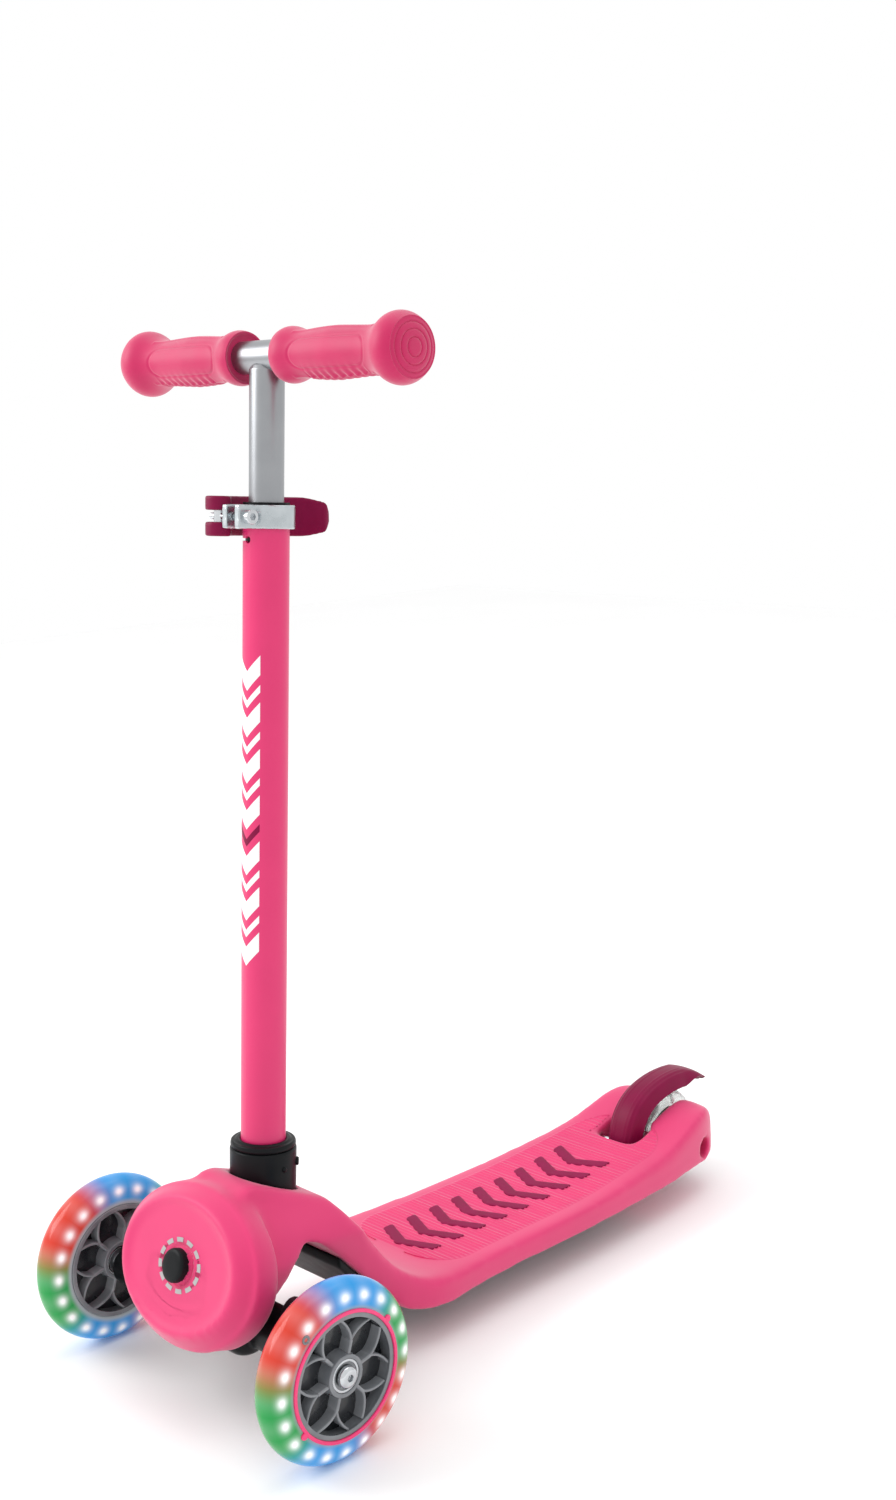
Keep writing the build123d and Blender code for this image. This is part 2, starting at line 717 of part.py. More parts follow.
def coil(plane, r, wire, foot, top, turns):
    """A round-wire compression spring along a plane's axis."""
    height = top - foot - 2 * wire
    with BuildPart() as spring:
        with BuildLine():
            path = Helix(pitch=height / turns, height=height, radius=r - wire,
                         center=plane.from_local_coords((0, 0, foot + wire)),
                         direction=plane.z_dir)
        with BuildSketch(Plane(origin=path @ 0, z_dir=path % 0)):
            Circle(wire)
        sweep(path=path)
    return spring.part


for side, name in ((1, "left"), (-1, "right")):
    seat = Plane(
        origin=steering.from_local_coords((side * spring_y, 0, 0)),
        x_dir=steering.x_dir,
        z_dir=steering.z_dir,
    )
    write(coil(seat, spring_r, spring_wire, spring_foot, spring_top, spring_turns),
          "centring_spring_" + name)

# ================================================================ steering lock
with BuildPart() as lock_button:
    with BuildSketch(lock_plane.offset(-4)):
        Ellipse(button_half_width, button_half_height)
    extrude(amount=8)
    fillet(lock_button.edges().group_by(Axis(disc.origin, disc.z_dir))[-1], 2.4)
    with BuildSketch(lock_plane.offset(-4)):
        Circle(lock_pin_r)
    extrude(amount=-(lock_pin_length - 4))
write(lock_button.part, "lock_button")

lock_coil = Plane(origin=lock_plane.origin, x_dir=lock_plane.x_dir, z_dir=lock_plane.z_dir)
write(coil(lock_coil, 5.2, 0.6, -button_well, -4, 4), "lock_spring")

# ================================================================ bar release button
release_line = bar_side(release_station, release_azimuth)
release_travel = 4.0

with BuildPart() as release_button:
    with BuildSketch(release_line.offset(lower_tube_bore_r - 2.4)):
        Circle(release_r)
    extrude(amount=24.6 - lower_tube_bore_r + 2.4)
    fillet(release_button.edges().group_by(Axis(release_line.origin, release_line.z_dir))[-1], 1)
write(release_button.part, "release_button")

with BuildPart() as release_spring:
    with BuildSketch(Plane(origin=release_line.origin, x_dir=release_line.z_dir,
                           z_dir=release_line.z_dir.cross(release_line.x_dir))):
        with BuildLine():
            Polyline((10.6, 3), (10.6, -6), (0, -30), (-12.6, -6))
        trace(line_width=0.8)
    extrude(amount=2.5, both=True)
write(release_spring.part, "release_spring")

# ================================================================ front wheels
groove_half = 5.0
groove_r = front_rim_r + 6.5
rim_ring_r = front_rim_r + 4.5
rim_ring_wall = 1.5
spacer_r = 6.0
hub_face = front_rim_width / 2 - bearing_inset
spoke_fork_r = hub_r + 9.0
spoke_bend_r = (spoke_fork_r + front_rim_r - rim_wall) / 2 - 0.45


def wheel_plane(side):
    """The wheel's own plane: its axis points outboard."""
    return Plane(origin=(front_x, side * track / 2, front_tyre_r), x_dir=(1, 0, 0),
                 z_dir=(0, side, 0))


def make_tyre(axle, r, inner_r, width, round_r, groove):
    """A clear cast tyre, round in section; a groove in its bore may hold the lights."""
    half = width / 2
    with BuildPart() as tyre:
        with BuildSketch(radial(axle)):
            with BuildLine():
                Line((inner_r, -half), (r - round_r, -half))
                ThreePointArc((r - round_r, -half), (r, 0), (r - round_r, half))
                Line((r - round_r, half), (inner_r, half))
                Line((inner_r, half), (inner_r, -half))
            make_face()
            if groove:
                with Locations(((inner_r + groove_r) / 2, 0)):
                    Rectangle(groove_r - inner_r, 2 * groove_half, mode=Mode.SUBTRACT)
        revolve(axis=Axis(axle.origin, axle.z_dir))
    return tyre.part


def polar(r, turn):
    """A sketch point at a radius and an angle in radians."""
    return (r * cos(turn), r * sin(turn))


def make_rim(axle):
    """A spoked core: rim band, hub with two bearing seats, and branching spokes."""
    half = front_rim_width / 2
    band = turned(axle, [(front_rim_r - rim_wall, -half), (front_rim_r, -half),
                         (front_rim_r, half), (front_rim_r - rim_wall, half)])
    hub = turned(axle, [(9.5, -half + 8), (9.5, half - 8), (bearing_r, half - 8),
                        (bearing_r, half), (hub_r, half), (hub_r, -half), (bearing_r, -half),
                        (bearing_r, -half + 8)])
    with BuildPart() as rim:
        add(band)
        add(hub)
        with BuildSketch(axle.offset(-half + 2)):
            for i in range(spoke_count):
                turn = radians(360 * i / spoke_count)
                fork = polar(spoke_fork_r, turn)
                with BuildLine(mode=Mode.PRIVATE) as stem:
                    Line(polar(hub_r - 1, turn), fork)
                trace(stem.line, line_width=spoke_wall + 0.6)
                for lean in (1, -1):
                    with BuildLine(mode=Mode.PRIVATE) as branch:
                        ThreePointArc(fork, polar(spoke_bend_r, turn + lean * 0.12),
                                      polar(front_rim_r - rim_wall / 2, turn + lean * 0.28))
                    trace(branch.line, line_width=spoke_wall)
        extrude(amount=front_rim_width - 4)
    return rim.part


def make_light_ring(axle):
    """A carrier band with a row of small lenses round it."""
    with BuildPart() as lights:
        add(turned(axle, [(front_rim_r, -4), (front_rim_r + 2, -4), (front_rim_r + 2, 4),
                          (front_rim_r, 4)]))
        for i in range(light_count):
            with BuildSketch(Plane(
                origin=axle.origin, x_dir=axle.z_dir,
                z_dir=axle.x_dir.rotate(Axis((0, 0, 0), axle.z_dir), 360 * i / light_count),
            ).offset(front_rim_r + 1.5)):
                Circle(2.4)
            extrude(amount=4)
    return lights.part


def make_rim_ring(axle):
    """The coloured trim ring on the outboard side, with two small lugs."""
    face = front_tyre_width / 2
    with BuildPart() as ring:
        with BuildSketch(axle.offset(face)):
            Circle(rim_ring_r)
            with Locations((rim_ring_r * cos(radians(35)), rim_ring_r * sin(radians(35))),
                           (rim_ring_r * cos(radians(215)), rim_ring_r * sin(radians(215)))):
                Circle(2.6)
            Circle(front_rim_r, mode=Mode.SUBTRACT)
        extrude(amount=rim_ring_wall)
    return ring.part


def make_bearing(axle, start):
    """A shielded ball bearing as one piece, with its shields set in."""
    end = start + bearing_width
    bore = bolt_r + bolt_gap
    return turned(axle, [
        (bore, start), (6, start), (6, start + 0.5), (9.3, start + 0.5), (9.3, start),
        (bearing_r, start), (bearing_r, end), (9.3, end), (9.3, end - 0.5), (6, end - 0.5),
        (6, end), (bore, end),
    ])


def make_axle_bolt(axle):
    """Domed bolt with a flange, driven into the beam's boss."""
    seat = hub_face + free_gap
    foot = boss_out - 24 - track / 2
    with BuildPart() as bolt:
        with BuildSketch(axle.offset(seat)):
            Circle(7.4)
        extrude(amount=4.2)
        fillet(bolt.edges().group_by(Axis(axle.origin, axle.z_dir))[-1], 3.2)
        with BuildSketch(axle.offset(foot)):
            Circle(bolt_r)
        extrude(amount=seat - foot)
        with BuildSketch(axle.offset(seat + 4.2)):
            RegularPolygon(2.6, 6)
        extrude(amount=-3, mode=Mode.SUBTRACT)
    return bolt.part


for side, name in ((1, "left"), (-1, "right")):
    axle = wheel_plane(side)
    write(make_tyre(axle, front_tyre_r, front_rim_r, front_tyre_width, 11.5, True),
          "front_tyre_" + name)
    write(make_rim(axle), "front_rim_" + name)
    write(make_light_ring(axle), "light_ring_" + name)
    write(make_rim_ring(axle), "rim_ring_" + name)
    write(make_bearing(axle, hub_face - bearing_width), "outer_bearing_" + name)
    write(make_bearing(axle, -hub_face), "inner_bearing_" + name)
    write(tube(axle, spacer_r + 2, bolt_r, -hub_face + bearing_width + free_gap,
               hub_face - bearing_width - free_gap), "magnet_sleeve_" + name)
    write(make_axle_bolt(axle), "axle_bolt_" + name)

with BuildPart() as axle_spacers:
    for side in (1, -1):
        add(tube(wheel_plane(side), spacer_r, bolt_r, boss_out - track / 2, -hub_face - free_gap))
write(axle_spacers.part, "axle_spacers")

# ================================================================ rear wheel
rear_axle = Plane(origin=(rear_x, 0, rear_tyre_r), x_dir=(1, 0, 0), z_dir=(0, 1, 0))
rear_face = rear_rim_width / 2 - bearing_inset
rear_hole_count = 8
write(make_tyre(rear_axle, rear_tyre_r, rear_rim_r, rear_tyre_width, 11.0, False), "rear_tyre")

with BuildPart() as rear_rim:
    half = rear_rim_width / 2
    add(turned(rear_axle, [(9.5, -half + 8), (9.5, half - 8), (bearing_r, half - 8),
                           (bearing_r, half), (rear_rim_r, half), (rear_rim_r, -half),
                           (bearing_r, -half), (bearing_r, -half + 8)]))
    with BuildSketch(rear_axle.offset(-half)):
        with PolarLocations(20, rear_hole_count):
            SlotOverall(8.5, 5.6, rotation=90)
    extrude(amount=rear_rim_width, mode=Mode.SUBTRACT)
write(rear_rim.part, "rear_rim")
write(make_bearing(rear_axle, rear_face - bearing_width), "rear_bearing_left")
write(make_bearing(rear_axle, -rear_face), "rear_bearing_right")
write(tube(rear_axle, spacer_r, bolt_r, -rear_face + bearing_width + free_gap,
           rear_face - bearing_width - free_gap), "rear_hub_sleeve")
with BuildPart() as rear_spacers:
    for side in (1, -1):
        start, end = sorted((side * (rear_face + free_gap), side * wheel_slot))
        add(tube(rear_axle, spacer_r, bolt_r, start, end))
write(rear_spacers.part, "rear_spacers")

with BuildPart() as rear_axle_bolt:
    add(tube(rear_axle, bolt_r, 0, -axle_well_depth - 7, axle_well_depth))
    add(tube(rear_axle, 7, 0, axle_well_depth, axle_well_depth + 4.6))
    fillet(rear_axle_bolt.faces().sort_by(Axis.Y)[-1].edges(), 1.8)
    with BuildSketch(rear_axle.offset(axle_well_depth + 4.6)):
        RegularPolygon(2.8, 6)
    extrude(amount=-3, mode=Mode.SUBTRACT)
write(rear_axle_bolt.part, "rear_axle_bolt")

with BuildPart() as rear_axle_nut:
    with BuildSketch(rear_axle.offset(-axle_well_depth)):
        RegularPolygon(7.4, 6)
        Circle(bolt_r, mode=Mode.SUBTRACT)
    extrude(amount=-6)
write(rear_axle_nut.part, "rear_axle_nut")

# ================================================================ brake
brake_top = [rear(54, 50), rear(50, 66), rear(36, 82.5), rear(15, 91.5), rear(-7, 94.5),
             rear(-28, 92.5), rear(-41, 87), rear(-49, 80)]
brake_under = [rear(-45, 79.5), rear(-28, 86), rear(-7, 88), rear(12, 84.8), rear(28, 76.5),
               rear(40, 64), rear(43.5, 50)]
brake_half = 17.0
brake_hub_r = 6.0
brake_sweep = 7.0

with BuildPart() as brake:
    with BuildSketch(Plane.XZ):
        with BuildLine():
            Spline(*brake_top)
            Line(brake_top[-1], brake_under[0])
            Spline(*brake_under)
            Line(brake_under[-1], brake_top[0])
        make_face()
    extrude(amount=brake_half, both=True)
    with BuildSketch():
        with Locations((rear_x + 8, 0)):
            SlotOverall(120, 2 * brake_half)
    extrude(amount=120, mode=Mode.INTERSECT)
    with BuildSketch(Plane.XZ):
        with Locations(rear(brake_pin_x, brake_pin_z)):
            Circle(brake_hub_r)
    extrude(amount=14, both=True)
    with BuildSketch(Plane.XZ):
        with Locations(rear(brake_pin_x, brake_pin_z)):
            Circle(brake_pin_r + slide_gap)
    extrude(amount=30, both=True, mode=Mode.SUBTRACT)
    # the hanging hole near the tip
    with BuildSketch():
        with Locations((rear_x - 32, 0)):
            Circle(2.6)
    extrude(amount=120, mode=Mode.SUBTRACT)
write(brake.part, "brake")

with BuildPart() as brake_pin:
    with BuildSketch(Plane.XZ):
        with Locations(rear(brake_pin_x, brake_pin_z)):
            Circle(brake_pin_r)
    extrude(amount=brake_pin_half, both=True)
write(brake_pin.part, "brake_pin")

brake_line = Plane(origin=(rear_x + brake_pin_x, 0, brake_pin_z), x_dir=(1, 0, 0),
                   z_dir=(0, 1, 0))
write(coil(brake_line, brake_pin_r + 2.0, 0.7, 15.0, 19.6, 3), "brake_spring")

# ================================================================ deck inlay
inlay_rise = 0.8
inlay_step = 24.0
inlay_count = 9
inlay_half = 30.0

with BuildPart() as deck_inlay:
    with BuildSketch():
        with Locations(*[(front_x - 190 - inlay_step * i, 0) for i in range(inlay_count)]):
            Polygon((0, inlay_half), (10, inlay_half), (22, 0), (10, -inlay_half),
                    (0, -inlay_half), (12, 0), align=None)
    extrude(amount=80)
    with BuildSketch(Plane.XZ):
        with BuildLine():
            top_line = Spline(*[(x, z + inlay_rise) for x, z in deck_top])
            Polyline(top_line @ 1, (rear_x - 60, 0), (front_x, 0), top_line @ 0)
        make_face()
    extrude(amount=60, both=True, mode=Mode.INTERSECT)
    with BuildSketch(Plane.XZ):
        with BuildLine():
            seat_line = Spline(*deck_top)
            Polyline(seat_line @ 1, (rear_x - 60, 0), (front_x, 0), seat_line @ 0)
        make_face()
    extrude(amount=60, both=True, mode=Mode.SUBTRACT)
write(deck_inlay.part, "deck_inlay")
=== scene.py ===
import bpy
import bmesh
import json
import math
import numpy as np
from mathutils import Matrix, Vector
from mathutils.bvhtree import BVHTree


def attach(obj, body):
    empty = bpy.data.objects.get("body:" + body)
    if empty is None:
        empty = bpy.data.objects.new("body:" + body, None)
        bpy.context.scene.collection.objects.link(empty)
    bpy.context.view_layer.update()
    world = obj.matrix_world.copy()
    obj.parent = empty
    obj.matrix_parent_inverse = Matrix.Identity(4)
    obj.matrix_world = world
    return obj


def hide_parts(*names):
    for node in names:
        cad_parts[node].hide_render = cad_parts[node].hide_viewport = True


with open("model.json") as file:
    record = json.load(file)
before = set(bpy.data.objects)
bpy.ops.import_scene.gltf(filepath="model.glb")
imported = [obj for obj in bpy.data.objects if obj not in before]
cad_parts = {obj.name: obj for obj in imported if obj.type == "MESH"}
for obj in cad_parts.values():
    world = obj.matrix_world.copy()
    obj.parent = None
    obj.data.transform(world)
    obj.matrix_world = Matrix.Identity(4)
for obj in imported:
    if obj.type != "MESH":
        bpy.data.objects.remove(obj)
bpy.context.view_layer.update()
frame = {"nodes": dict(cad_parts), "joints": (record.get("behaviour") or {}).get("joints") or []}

MM = 0.001
JOINTS = {joint["name"]: joint for joint in frame["joints"]}


# ---------------------------------------------------------------- places read from the frame
def vertices_of(mesh):
    """A mesh's vertices in millimetres."""
    co = np.zeros(len(mesh.vertices) * 3)
    mesh.vertices.foreach_get("co", co)
    return co.reshape(-1, 3) / MM


def edges_of(mesh):
    """A mesh's edges as pairs of vertex numbers."""
    edges = np.zeros(len(mesh.edges) * 2, int)
    mesh.edges.foreach_get("vertices", edges)
    return edges.reshape(-1, 2)


def points(node):
    """A CAD node's vertices in millimetres."""
    return vertices_of(frame["nodes"][node].data)


def box(node):
    """A CAD node's lowest and highest corners in millimetres."""
    co = points(node)
    return co.min(0), co.max(0)


def place(origin, axis, across):
    """A 4 x 4 placing matrix in millimetres: local Z along axis, local X near across."""
    z = np.array(axis, float)
    z /= np.linalg.norm(z)
    y = np.cross(z, across)
    y /= np.linalg.norm(y)
    grid = np.eye(4)
    grid[:3, 0], grid[:3, 1], grid[:3, 2], grid[:3, 3] = np.cross(y, z), y, z, origin
    return grid


def moved(co, grid):
    """Local points taken to the row frame."""
    return np.asarray(co, float) @ grid[:3, :3].T + grid[:3, 3]


def local(co, grid):
    """Row-frame points seen from a placing matrix."""
    return (np.asarray(co, float) - grid[:3, 3]) @ grid[:3, :3]


def span(node, grid):
    """How far a node reaches along a placing matrix's Z: its lowest and highest station."""
    z = local(points(node), grid)[:, 2]
    return z.min(), z.max()


def reach(node, grid):
    """The largest radius of a node about a placing matrix's Z."""
    co = local(points(node), grid)
    return np.hypot(co[:, 0], co[:, 1]).max()


bar_axis = np.array(JOINTS["bar_height"]["axis"])
tube_low, tube_high = box("lower_tube")
BAR = place((tube_low + tube_high) / 2, bar_axis, (1, 0, 0))
disc_axis = -np.array(JOINTS["steering_lock_press"]["axis"])
cover_low, cover_high = box("front_cover")
DISC = place((cover_low + cover_high) / 2, disc_axis, (0, 1, 0))
WHEELS = {side: np.array(JOINTS["front_wheel_spin_" + side]["pos_m"]) / MM
          for side in ("left", "right")}
REAR_AXLE = np.array(JOINTS["rear_wheel_spin"]["pos_m"]) / MM


# ---------------------------------------------------------------- mesh helpers
def build(name, co, faces, sharp=40):
    """A mesh object from millimetre points, smooth apart from edges above a sharp angle."""
    mesh = bpy.data.meshes.new(name)
    mesh.from_pydata([tuple(p) for p in np.asarray(co, float) * MM], [], [tuple(f) for f in faces])
    mesh.validate()
    clean = bmesh.new()
    clean.from_mesh(mesh)
    bmesh.ops.recalc_face_normals(clean, faces=clean.faces)
    clean.to_mesh(mesh)
    clean.free()
    mesh.polygons.foreach_set("use_smooth", [True] * len(mesh.polygons))
    mesh.set_sharp_from_angle(angle=math.radians(sharp))
    obj = bpy.data.objects.new(name, mesh)
    bpy.context.scene.collection.objects.link(obj)
    return obj


def softened_outline(outline, radius, steps=4, closed=True):
    """An outline with each corner replaced by a short curve."""
    outline = [np.array(p, float) for p in outline]
    count = len(outline)
    result = []
    for i, corner in enumerate(outline):
        if not closed and i in (0, count - 1):
            result.append(corner)
            continue
        before = outline[i - 1] - corner
        after = outline[(i + 1) % count] - corner
        reach_in = min(radius, 0.45 * np.linalg.norm(before))
        reach_out = min(radius, 0.45 * np.linalg.norm(after))
        start = corner + before / max(np.linalg.norm(before), 1e-9) * reach_in
        end = corner + after / max(np.linalg.norm(after), 1e-9) * reach_out
        for k in range(steps + 1):
            t = k / steps
            result.append((1 - t) ** 2 * start + 2 * t * (1 - t) * corner + t ** 2 * end)
    return result


def lathe(name, grid, outline, radius=0.6, segments=96, closed=True, sharp=40):
    """A turned piece from (radius, station) corners; a closed outline makes a ring."""
    outline = softened_outline(outline, radius, closed=closed)
    rows = len(outline)
    turns = np.linspace(0, 2 * math.pi, segments, endpoint=False)
    co = [(r * math.cos(a), r * math.sin(a), z) for a in turns for r, z in outline]
    faces = []
    for i in range(segments):
        j = (i + 1) % segments
        for k in range(rows if closed else rows - 1):
            m = (k + 1) % rows
            faces.append((i * rows + k, j * rows + k, j * rows + m, i * rows + m))
    if not closed:
        faces.append([i * rows for i in range(segments)][::-1])
        faces.append([i * rows + rows - 1 for i in range(segments)])
    return build(name, moved(co, grid), faces, sharp)


def sheet_faces(rows, cols, wrap=False):
    """Quads of a grid of rows x cols points; wrap joins the last column to the first."""
    return [(i * cols + j, i * cols + (j + 1) % cols, (i + 1) * cols + (j + 1) % cols,
             (i + 1) * cols + j)
            for i in range(rows - 1) for j in range(cols if wrap else cols - 1)]


def prism(name, grid, outline, low, high, radius=0.5, sharp=40):
    """An outline in a placing matrix's XY plane, raised from low to high, with soft top edges."""
    outline = np.array(outline, float)
    count = len(outline)
    middle = outline.mean(0)
    rings = []
    for inset, z in ((radius, high), (0.3 * radius, high - 0.3 * radius), (0, high - radius),
                     (0, low)):
        toward = middle - outline
        toward /= np.linalg.norm(toward, axis=1)[:, None]
        rings.append(np.column_stack([outline + toward * inset, np.full(count, z)]))
    co = np.concatenate(rings)
    faces = sheet_faces(len(rings), count, wrap=True)
    faces.append(list(range(count)))
    faces.append(list(range(len(co) - count, len(co)))[::-1])
    return build(name, moved(co, grid), faces, sharp)


def object_from(name, source):
    """An object in the scene made from a bmesh, which is freed."""
    mesh = bpy.data.meshes.new(name)
    source.to_mesh(mesh)
    source.free()
    obj = bpy.data.objects.new(name, mesh)
    bpy.context.scene.collection.objects.link(obj)
    return obj


def joined(name, pieces):
    """Several objects made one."""
    result = bmesh.new()
    for piece in pieces:
        result.from_mesh(piece.data)
        bpy.data.objects.remove(piece)
    return object_from(name, result)


def relax(co, edges, weight, rounds):
    """Moves each point toward the middle of its neighbours, by its own weight."""
    a, b = edges.T
    count = len(co)
    degree = np.maximum(np.bincount(edges.ravel(), minlength=count), 1)
    for _ in range(rounds):
        total = np.stack([np.bincount(a, co[b, k], count) + np.bincount(b, co[a, k], count)
                          for k in range(3)], axis=1)
        co = co + weight[:, None] * (total / degree[:, None] - co)
    return co


def moulded(name, nodes, voxel, rounds, weight=None):
    """One rounded skin over CAD nodes: remeshed evenly, then relaxed so that edges turn soft."""
    source = bmesh.new()
    for node in nodes:
        source.from_mesh(frame["nodes"][node].data)
    obj = object_from(name, source)
    remesh = obj.modifiers.new("remesh", "REMESH")
    remesh.mode = "VOXEL"
    remesh.voxel_size = voxel * MM
    bpy.context.view_layer.update()
    result = bpy.data.meshes.new_from_object(
        obj.evaluated_get(bpy.context.evaluated_depsgraph_get()))
    obj.modifiers.clear()
    obj.data = result
    co = vertices_of(result)
    amount = np.full(len(co), 0.5) if weight is None else weight(co)
    co = relax(co, edges_of(result), amount, rounds)
    result.vertices.foreach_set("co", (co * MM).ravel())
    result.polygons.foreach_set("use_smooth", [True] * len(result.polygons))
    return obj


# ---------------------------------------------------------------- materials
def finish(name, base, accent=None, rough=(0.35, 0.5), mottle=60.0, grain=900.0, depth=0.00004,
           wear=0.0, **fixed):
    """A material with mottled colour, uneven roughness, fine grain and optional worn edges.
    Anything in fixed sets a shader socket once, such as Metallic=1.0."""
    material = bpy.data.materials.new(name)
    material.use_nodes = True
    nodes, links = material.node_tree.nodes, material.node_tree.links
    shader = nodes["Principled BSDF"]
    place_node = nodes.new("ShaderNodeTexCoord")
    cloud = nodes.new("ShaderNodeTexNoise")
    cloud.inputs["Scale"].default_value = mottle
    cloud.inputs["Detail"].default_value = 5.0
    links.new(place_node.outputs["Object"], cloud.inputs["Vector"])
    ramp = nodes.new("ShaderNodeValToRGB")
    ramp.color_ramp.elements[0].position = 0.35
    ramp.color_ramp.elements[1].position = 0.65
    ramp.color_ramp.elements[0].color = (*(accent or [c * 0.88 for c in base]), 1)
    ramp.color_ramp.elements[1].color = (*base, 1)
    links.new(cloud.outputs["Fac"], ramp.inputs["Fac"])
    colour = ramp.outputs["Color"]
    if wear:
        geometry = nodes.new("ShaderNodeNewGeometry")
        edge = nodes.new("ShaderNodeMapRange")
        edge.inputs["From Min"].default_value = 0.53
        edge.inputs["From Max"].default_value = 0.62
        edge.inputs["To Max"].default_value = wear
        links.new(geometry.outputs["Pointiness"], edge.inputs["Value"])
        lift = nodes.new("ShaderNodeMix")
        lift.data_type = "RGBA"
        lift.inputs["B"].default_value = (*[min(1.0, c * 1.25 + 0.06) for c in base], 1)
        links.new(edge.outputs["Result"], lift.inputs["Factor"])
        links.new(colour, lift.inputs["A"])
        colour = lift.outputs["Result"]
    links.new(colour, shader.inputs["Base Color"])
    spread = nodes.new("ShaderNodeMapRange")
    spread.inputs["To Min"].default_value = rough[0]
    spread.inputs["To Max"].default_value = rough[1]
    links.new(cloud.outputs["Fac"], spread.inputs["Value"])
    links.new(spread.outputs["Result"], shader.inputs["Roughness"])
    fine = nodes.new("ShaderNodeTexNoise")
    fine.inputs["Scale"].default_value = grain
    fine.inputs["Detail"].default_value = 3.0
    links.new(place_node.outputs["Object"], fine.inputs["Vector"])
    bump = nodes.new("ShaderNodeBump")
    bump.inputs["Strength"].default_value = 0.5
    bump.inputs["Distance"].default_value = depth
    links.new(fine.outputs["Fac"], bump.inputs["Height"])
    links.new(bump.outputs["Normal"], shader.inputs["Normal"])
    for socket, value in fixed.items():
        shader.inputs[socket.replace("_", " ")].default_value = value
    return material


PINK = (0.70, 0.030, 0.155)
BERRY = (0.205, 0.001, 0.045)
MATERIALS = {
    "deck": finish("deck_plastic", PINK, (0.67, 0.027, 0.147), (0.42, 0.50), 25, 2600, 0.00003,
                   wear=0.05, Specular_IOR_Level=0.35, Sheen_Weight=0.25, Sheen_Roughness=0.5),
    "grip": finish("grip_rubber", (0.54, 0.0, 0.09), (0.51, 0.0, 0.085), (0.44, 0.54), 60, 2400, 0.00004,
                   wear=0.06, Specular_IOR_Level=0.4, Sheen_Weight=0.3, Sheen_Roughness=0.5),
    "paint": finish("tube_paint", (0.70, 0.028, 0.15), (0.68, 0.026, 0.145), (0.30, 0.38), 40,
                    1800, 0.00001, Specular_IOR_Level=0.45),
    "berry": finish("berry_plastic", BERRY, (0.185, 0.001, 0.04), (0.38, 0.48), 60, 2400,
                    0.00004, Specular_IOR_Level=0.15, Sheen_Weight=0.05),
    "inlay": finish("inlay_rubber", (0.25, 0.003, 0.06), (0.22, 0.002, 0.05), (0.5, 0.62), 90,
                    1600, 0.00008, wear=0.05, Specular_IOR_Level=0.15),
    "black": finish("black_plastic", (0.007, 0.008, 0.009), (0.005, 0.006, 0.007),
                    (0.32, 0.42), 70, 2200, 0.00006, wear=0.03, Specular_IOR_Level=0.13),
    "truck": finish("truck_nylon", (0.008, 0.009, 0.010), (0.005, 0.006, 0.007), (0.24, 0.36),
                    50, 1800, 0.00008, wear=0.03, Specular_IOR_Level=0.2),
    "liner": finish("liner_plastic", (0.010, 0.011, 0.012), (0.007, 0.008, 0.009), (0.4, 0.55),
                    70, 2000, 0.00008, Specular_IOR_Level=0.15),
    "silver": finish("silver_anodised", (0.36, 0.37, 0.385), (0.32, 0.33, 0.345), (0.30, 0.38),
                     30, 2500, 0.00001, Metallic=1.0),
    "clamp": finish("clamp_alloy", (0.56, 0.60, 0.62), (0.46, 0.50, 0.52), (0.22, 0.34), 80,
                    1500, 0.00002, Metallic=1.0),
    "steel": finish("plated_steel", (0.62, 0.64, 0.66), (0.48, 0.50, 0.52), (0.12, 0.24), 120,
                    1500, 0.00002, wear=0.3, Metallic=1.0),
    "dark_steel": finish("dark_steel", (0.24, 0.25, 0.26), (0.17, 0.18, 0.19), (0.3, 0.42),
                         120, 1500, 0.00003, Metallic=1.0),
    "rim": finish("rim_smoke", (0.20, 0.21, 0.225), (0.15, 0.16, 0.175), (0.16, 0.28), 70,
                  1500, 0.00003, wear=0.5, Coat_Weight=0.5, Coat_Roughness=0.1),
    "web": finish("rim_web", (0.018, 0.020, 0.024), (0.012, 0.014, 0.017), (0.2, 0.34), 70,
                  1500, 0.00003, Coat_Weight=0.3),
    "ring": finish("ring_pink", (0.86, 0.02, 0.17), (0.82, 0.015, 0.15), (0.2, 0.3), 60, 1600,
                   0.00002, Coat_Weight=0.4),
    "white": finish("white_print", (0.88, 0.88, 0.88), (0.82, 0.82, 0.82), (0.35, 0.45), 60,
                    2000, 0.00001),
    "grey_mark": finish("grey_print", (0.42, 0.41, 0.41), (0.38, 0.37, 0.37), (0.4, 0.5), 60,
                        2000, 0.00001),
    "rear_tyre": finish("clear_tyre", (0.86, 0.90, 0.88), (0.80, 0.85, 0.83), (0.10, 0.18), 40,
                        900, 0.00003, Transmission_Weight=0.85, IOR=1.46),
    "rear_core": finish("rear_core", (0.20, 0.23, 0.20), (0.15, 0.18, 0.155), (0.3, 0.42), 60,
                        1600, 0.00004, wear=0.4),
    "bushing": finish("bushing_rubber", (0.05, 0.05, 0.055), (0.035, 0.035, 0.04), (0.5, 0.6),
                      80, 1800, 0.00006),
}


def dress(obj, material, body=None, stands_for=()):
    """Gives a piece its finish and its body, and hides the CAD nodes that it stands for."""
    obj.data.materials.clear()
    obj.data.materials.append(MATERIALS[material])
    if body:
        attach(obj, body)
    if stands_for:
        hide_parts(*stands_for)
    return obj


# ---------------------------------------------------------------- deck body and head
COVER_HALF = np.abs(local(points("front_cover"), DISC)[:, :2]).max(0)
RIM_WIDTH = 14.5
DISC_HALF = COVER_HALF + RIM_WIDTH
BUTTON_HALF = np.abs(local(points("lock_button"), DISC)[:, :2]).max(0)
RING_SHARE = 0.79
DISC_FACE = 0.8
TAIL_SLOT_HALF = 15.5
SKIN_VOXEL = 1.5
SKIN_ROUNDS = 26
SOFT_ROUNDS = 55
RIM_ROUNDS = 14
CUP_R = reach("bar_socket", BAR)


def oval(co, half):
    """Local points' distance from an axis, as a share of an ellipse's radius."""
    return np.hypot(co[:, 0] / half[0], co[:, 1] / half[1])


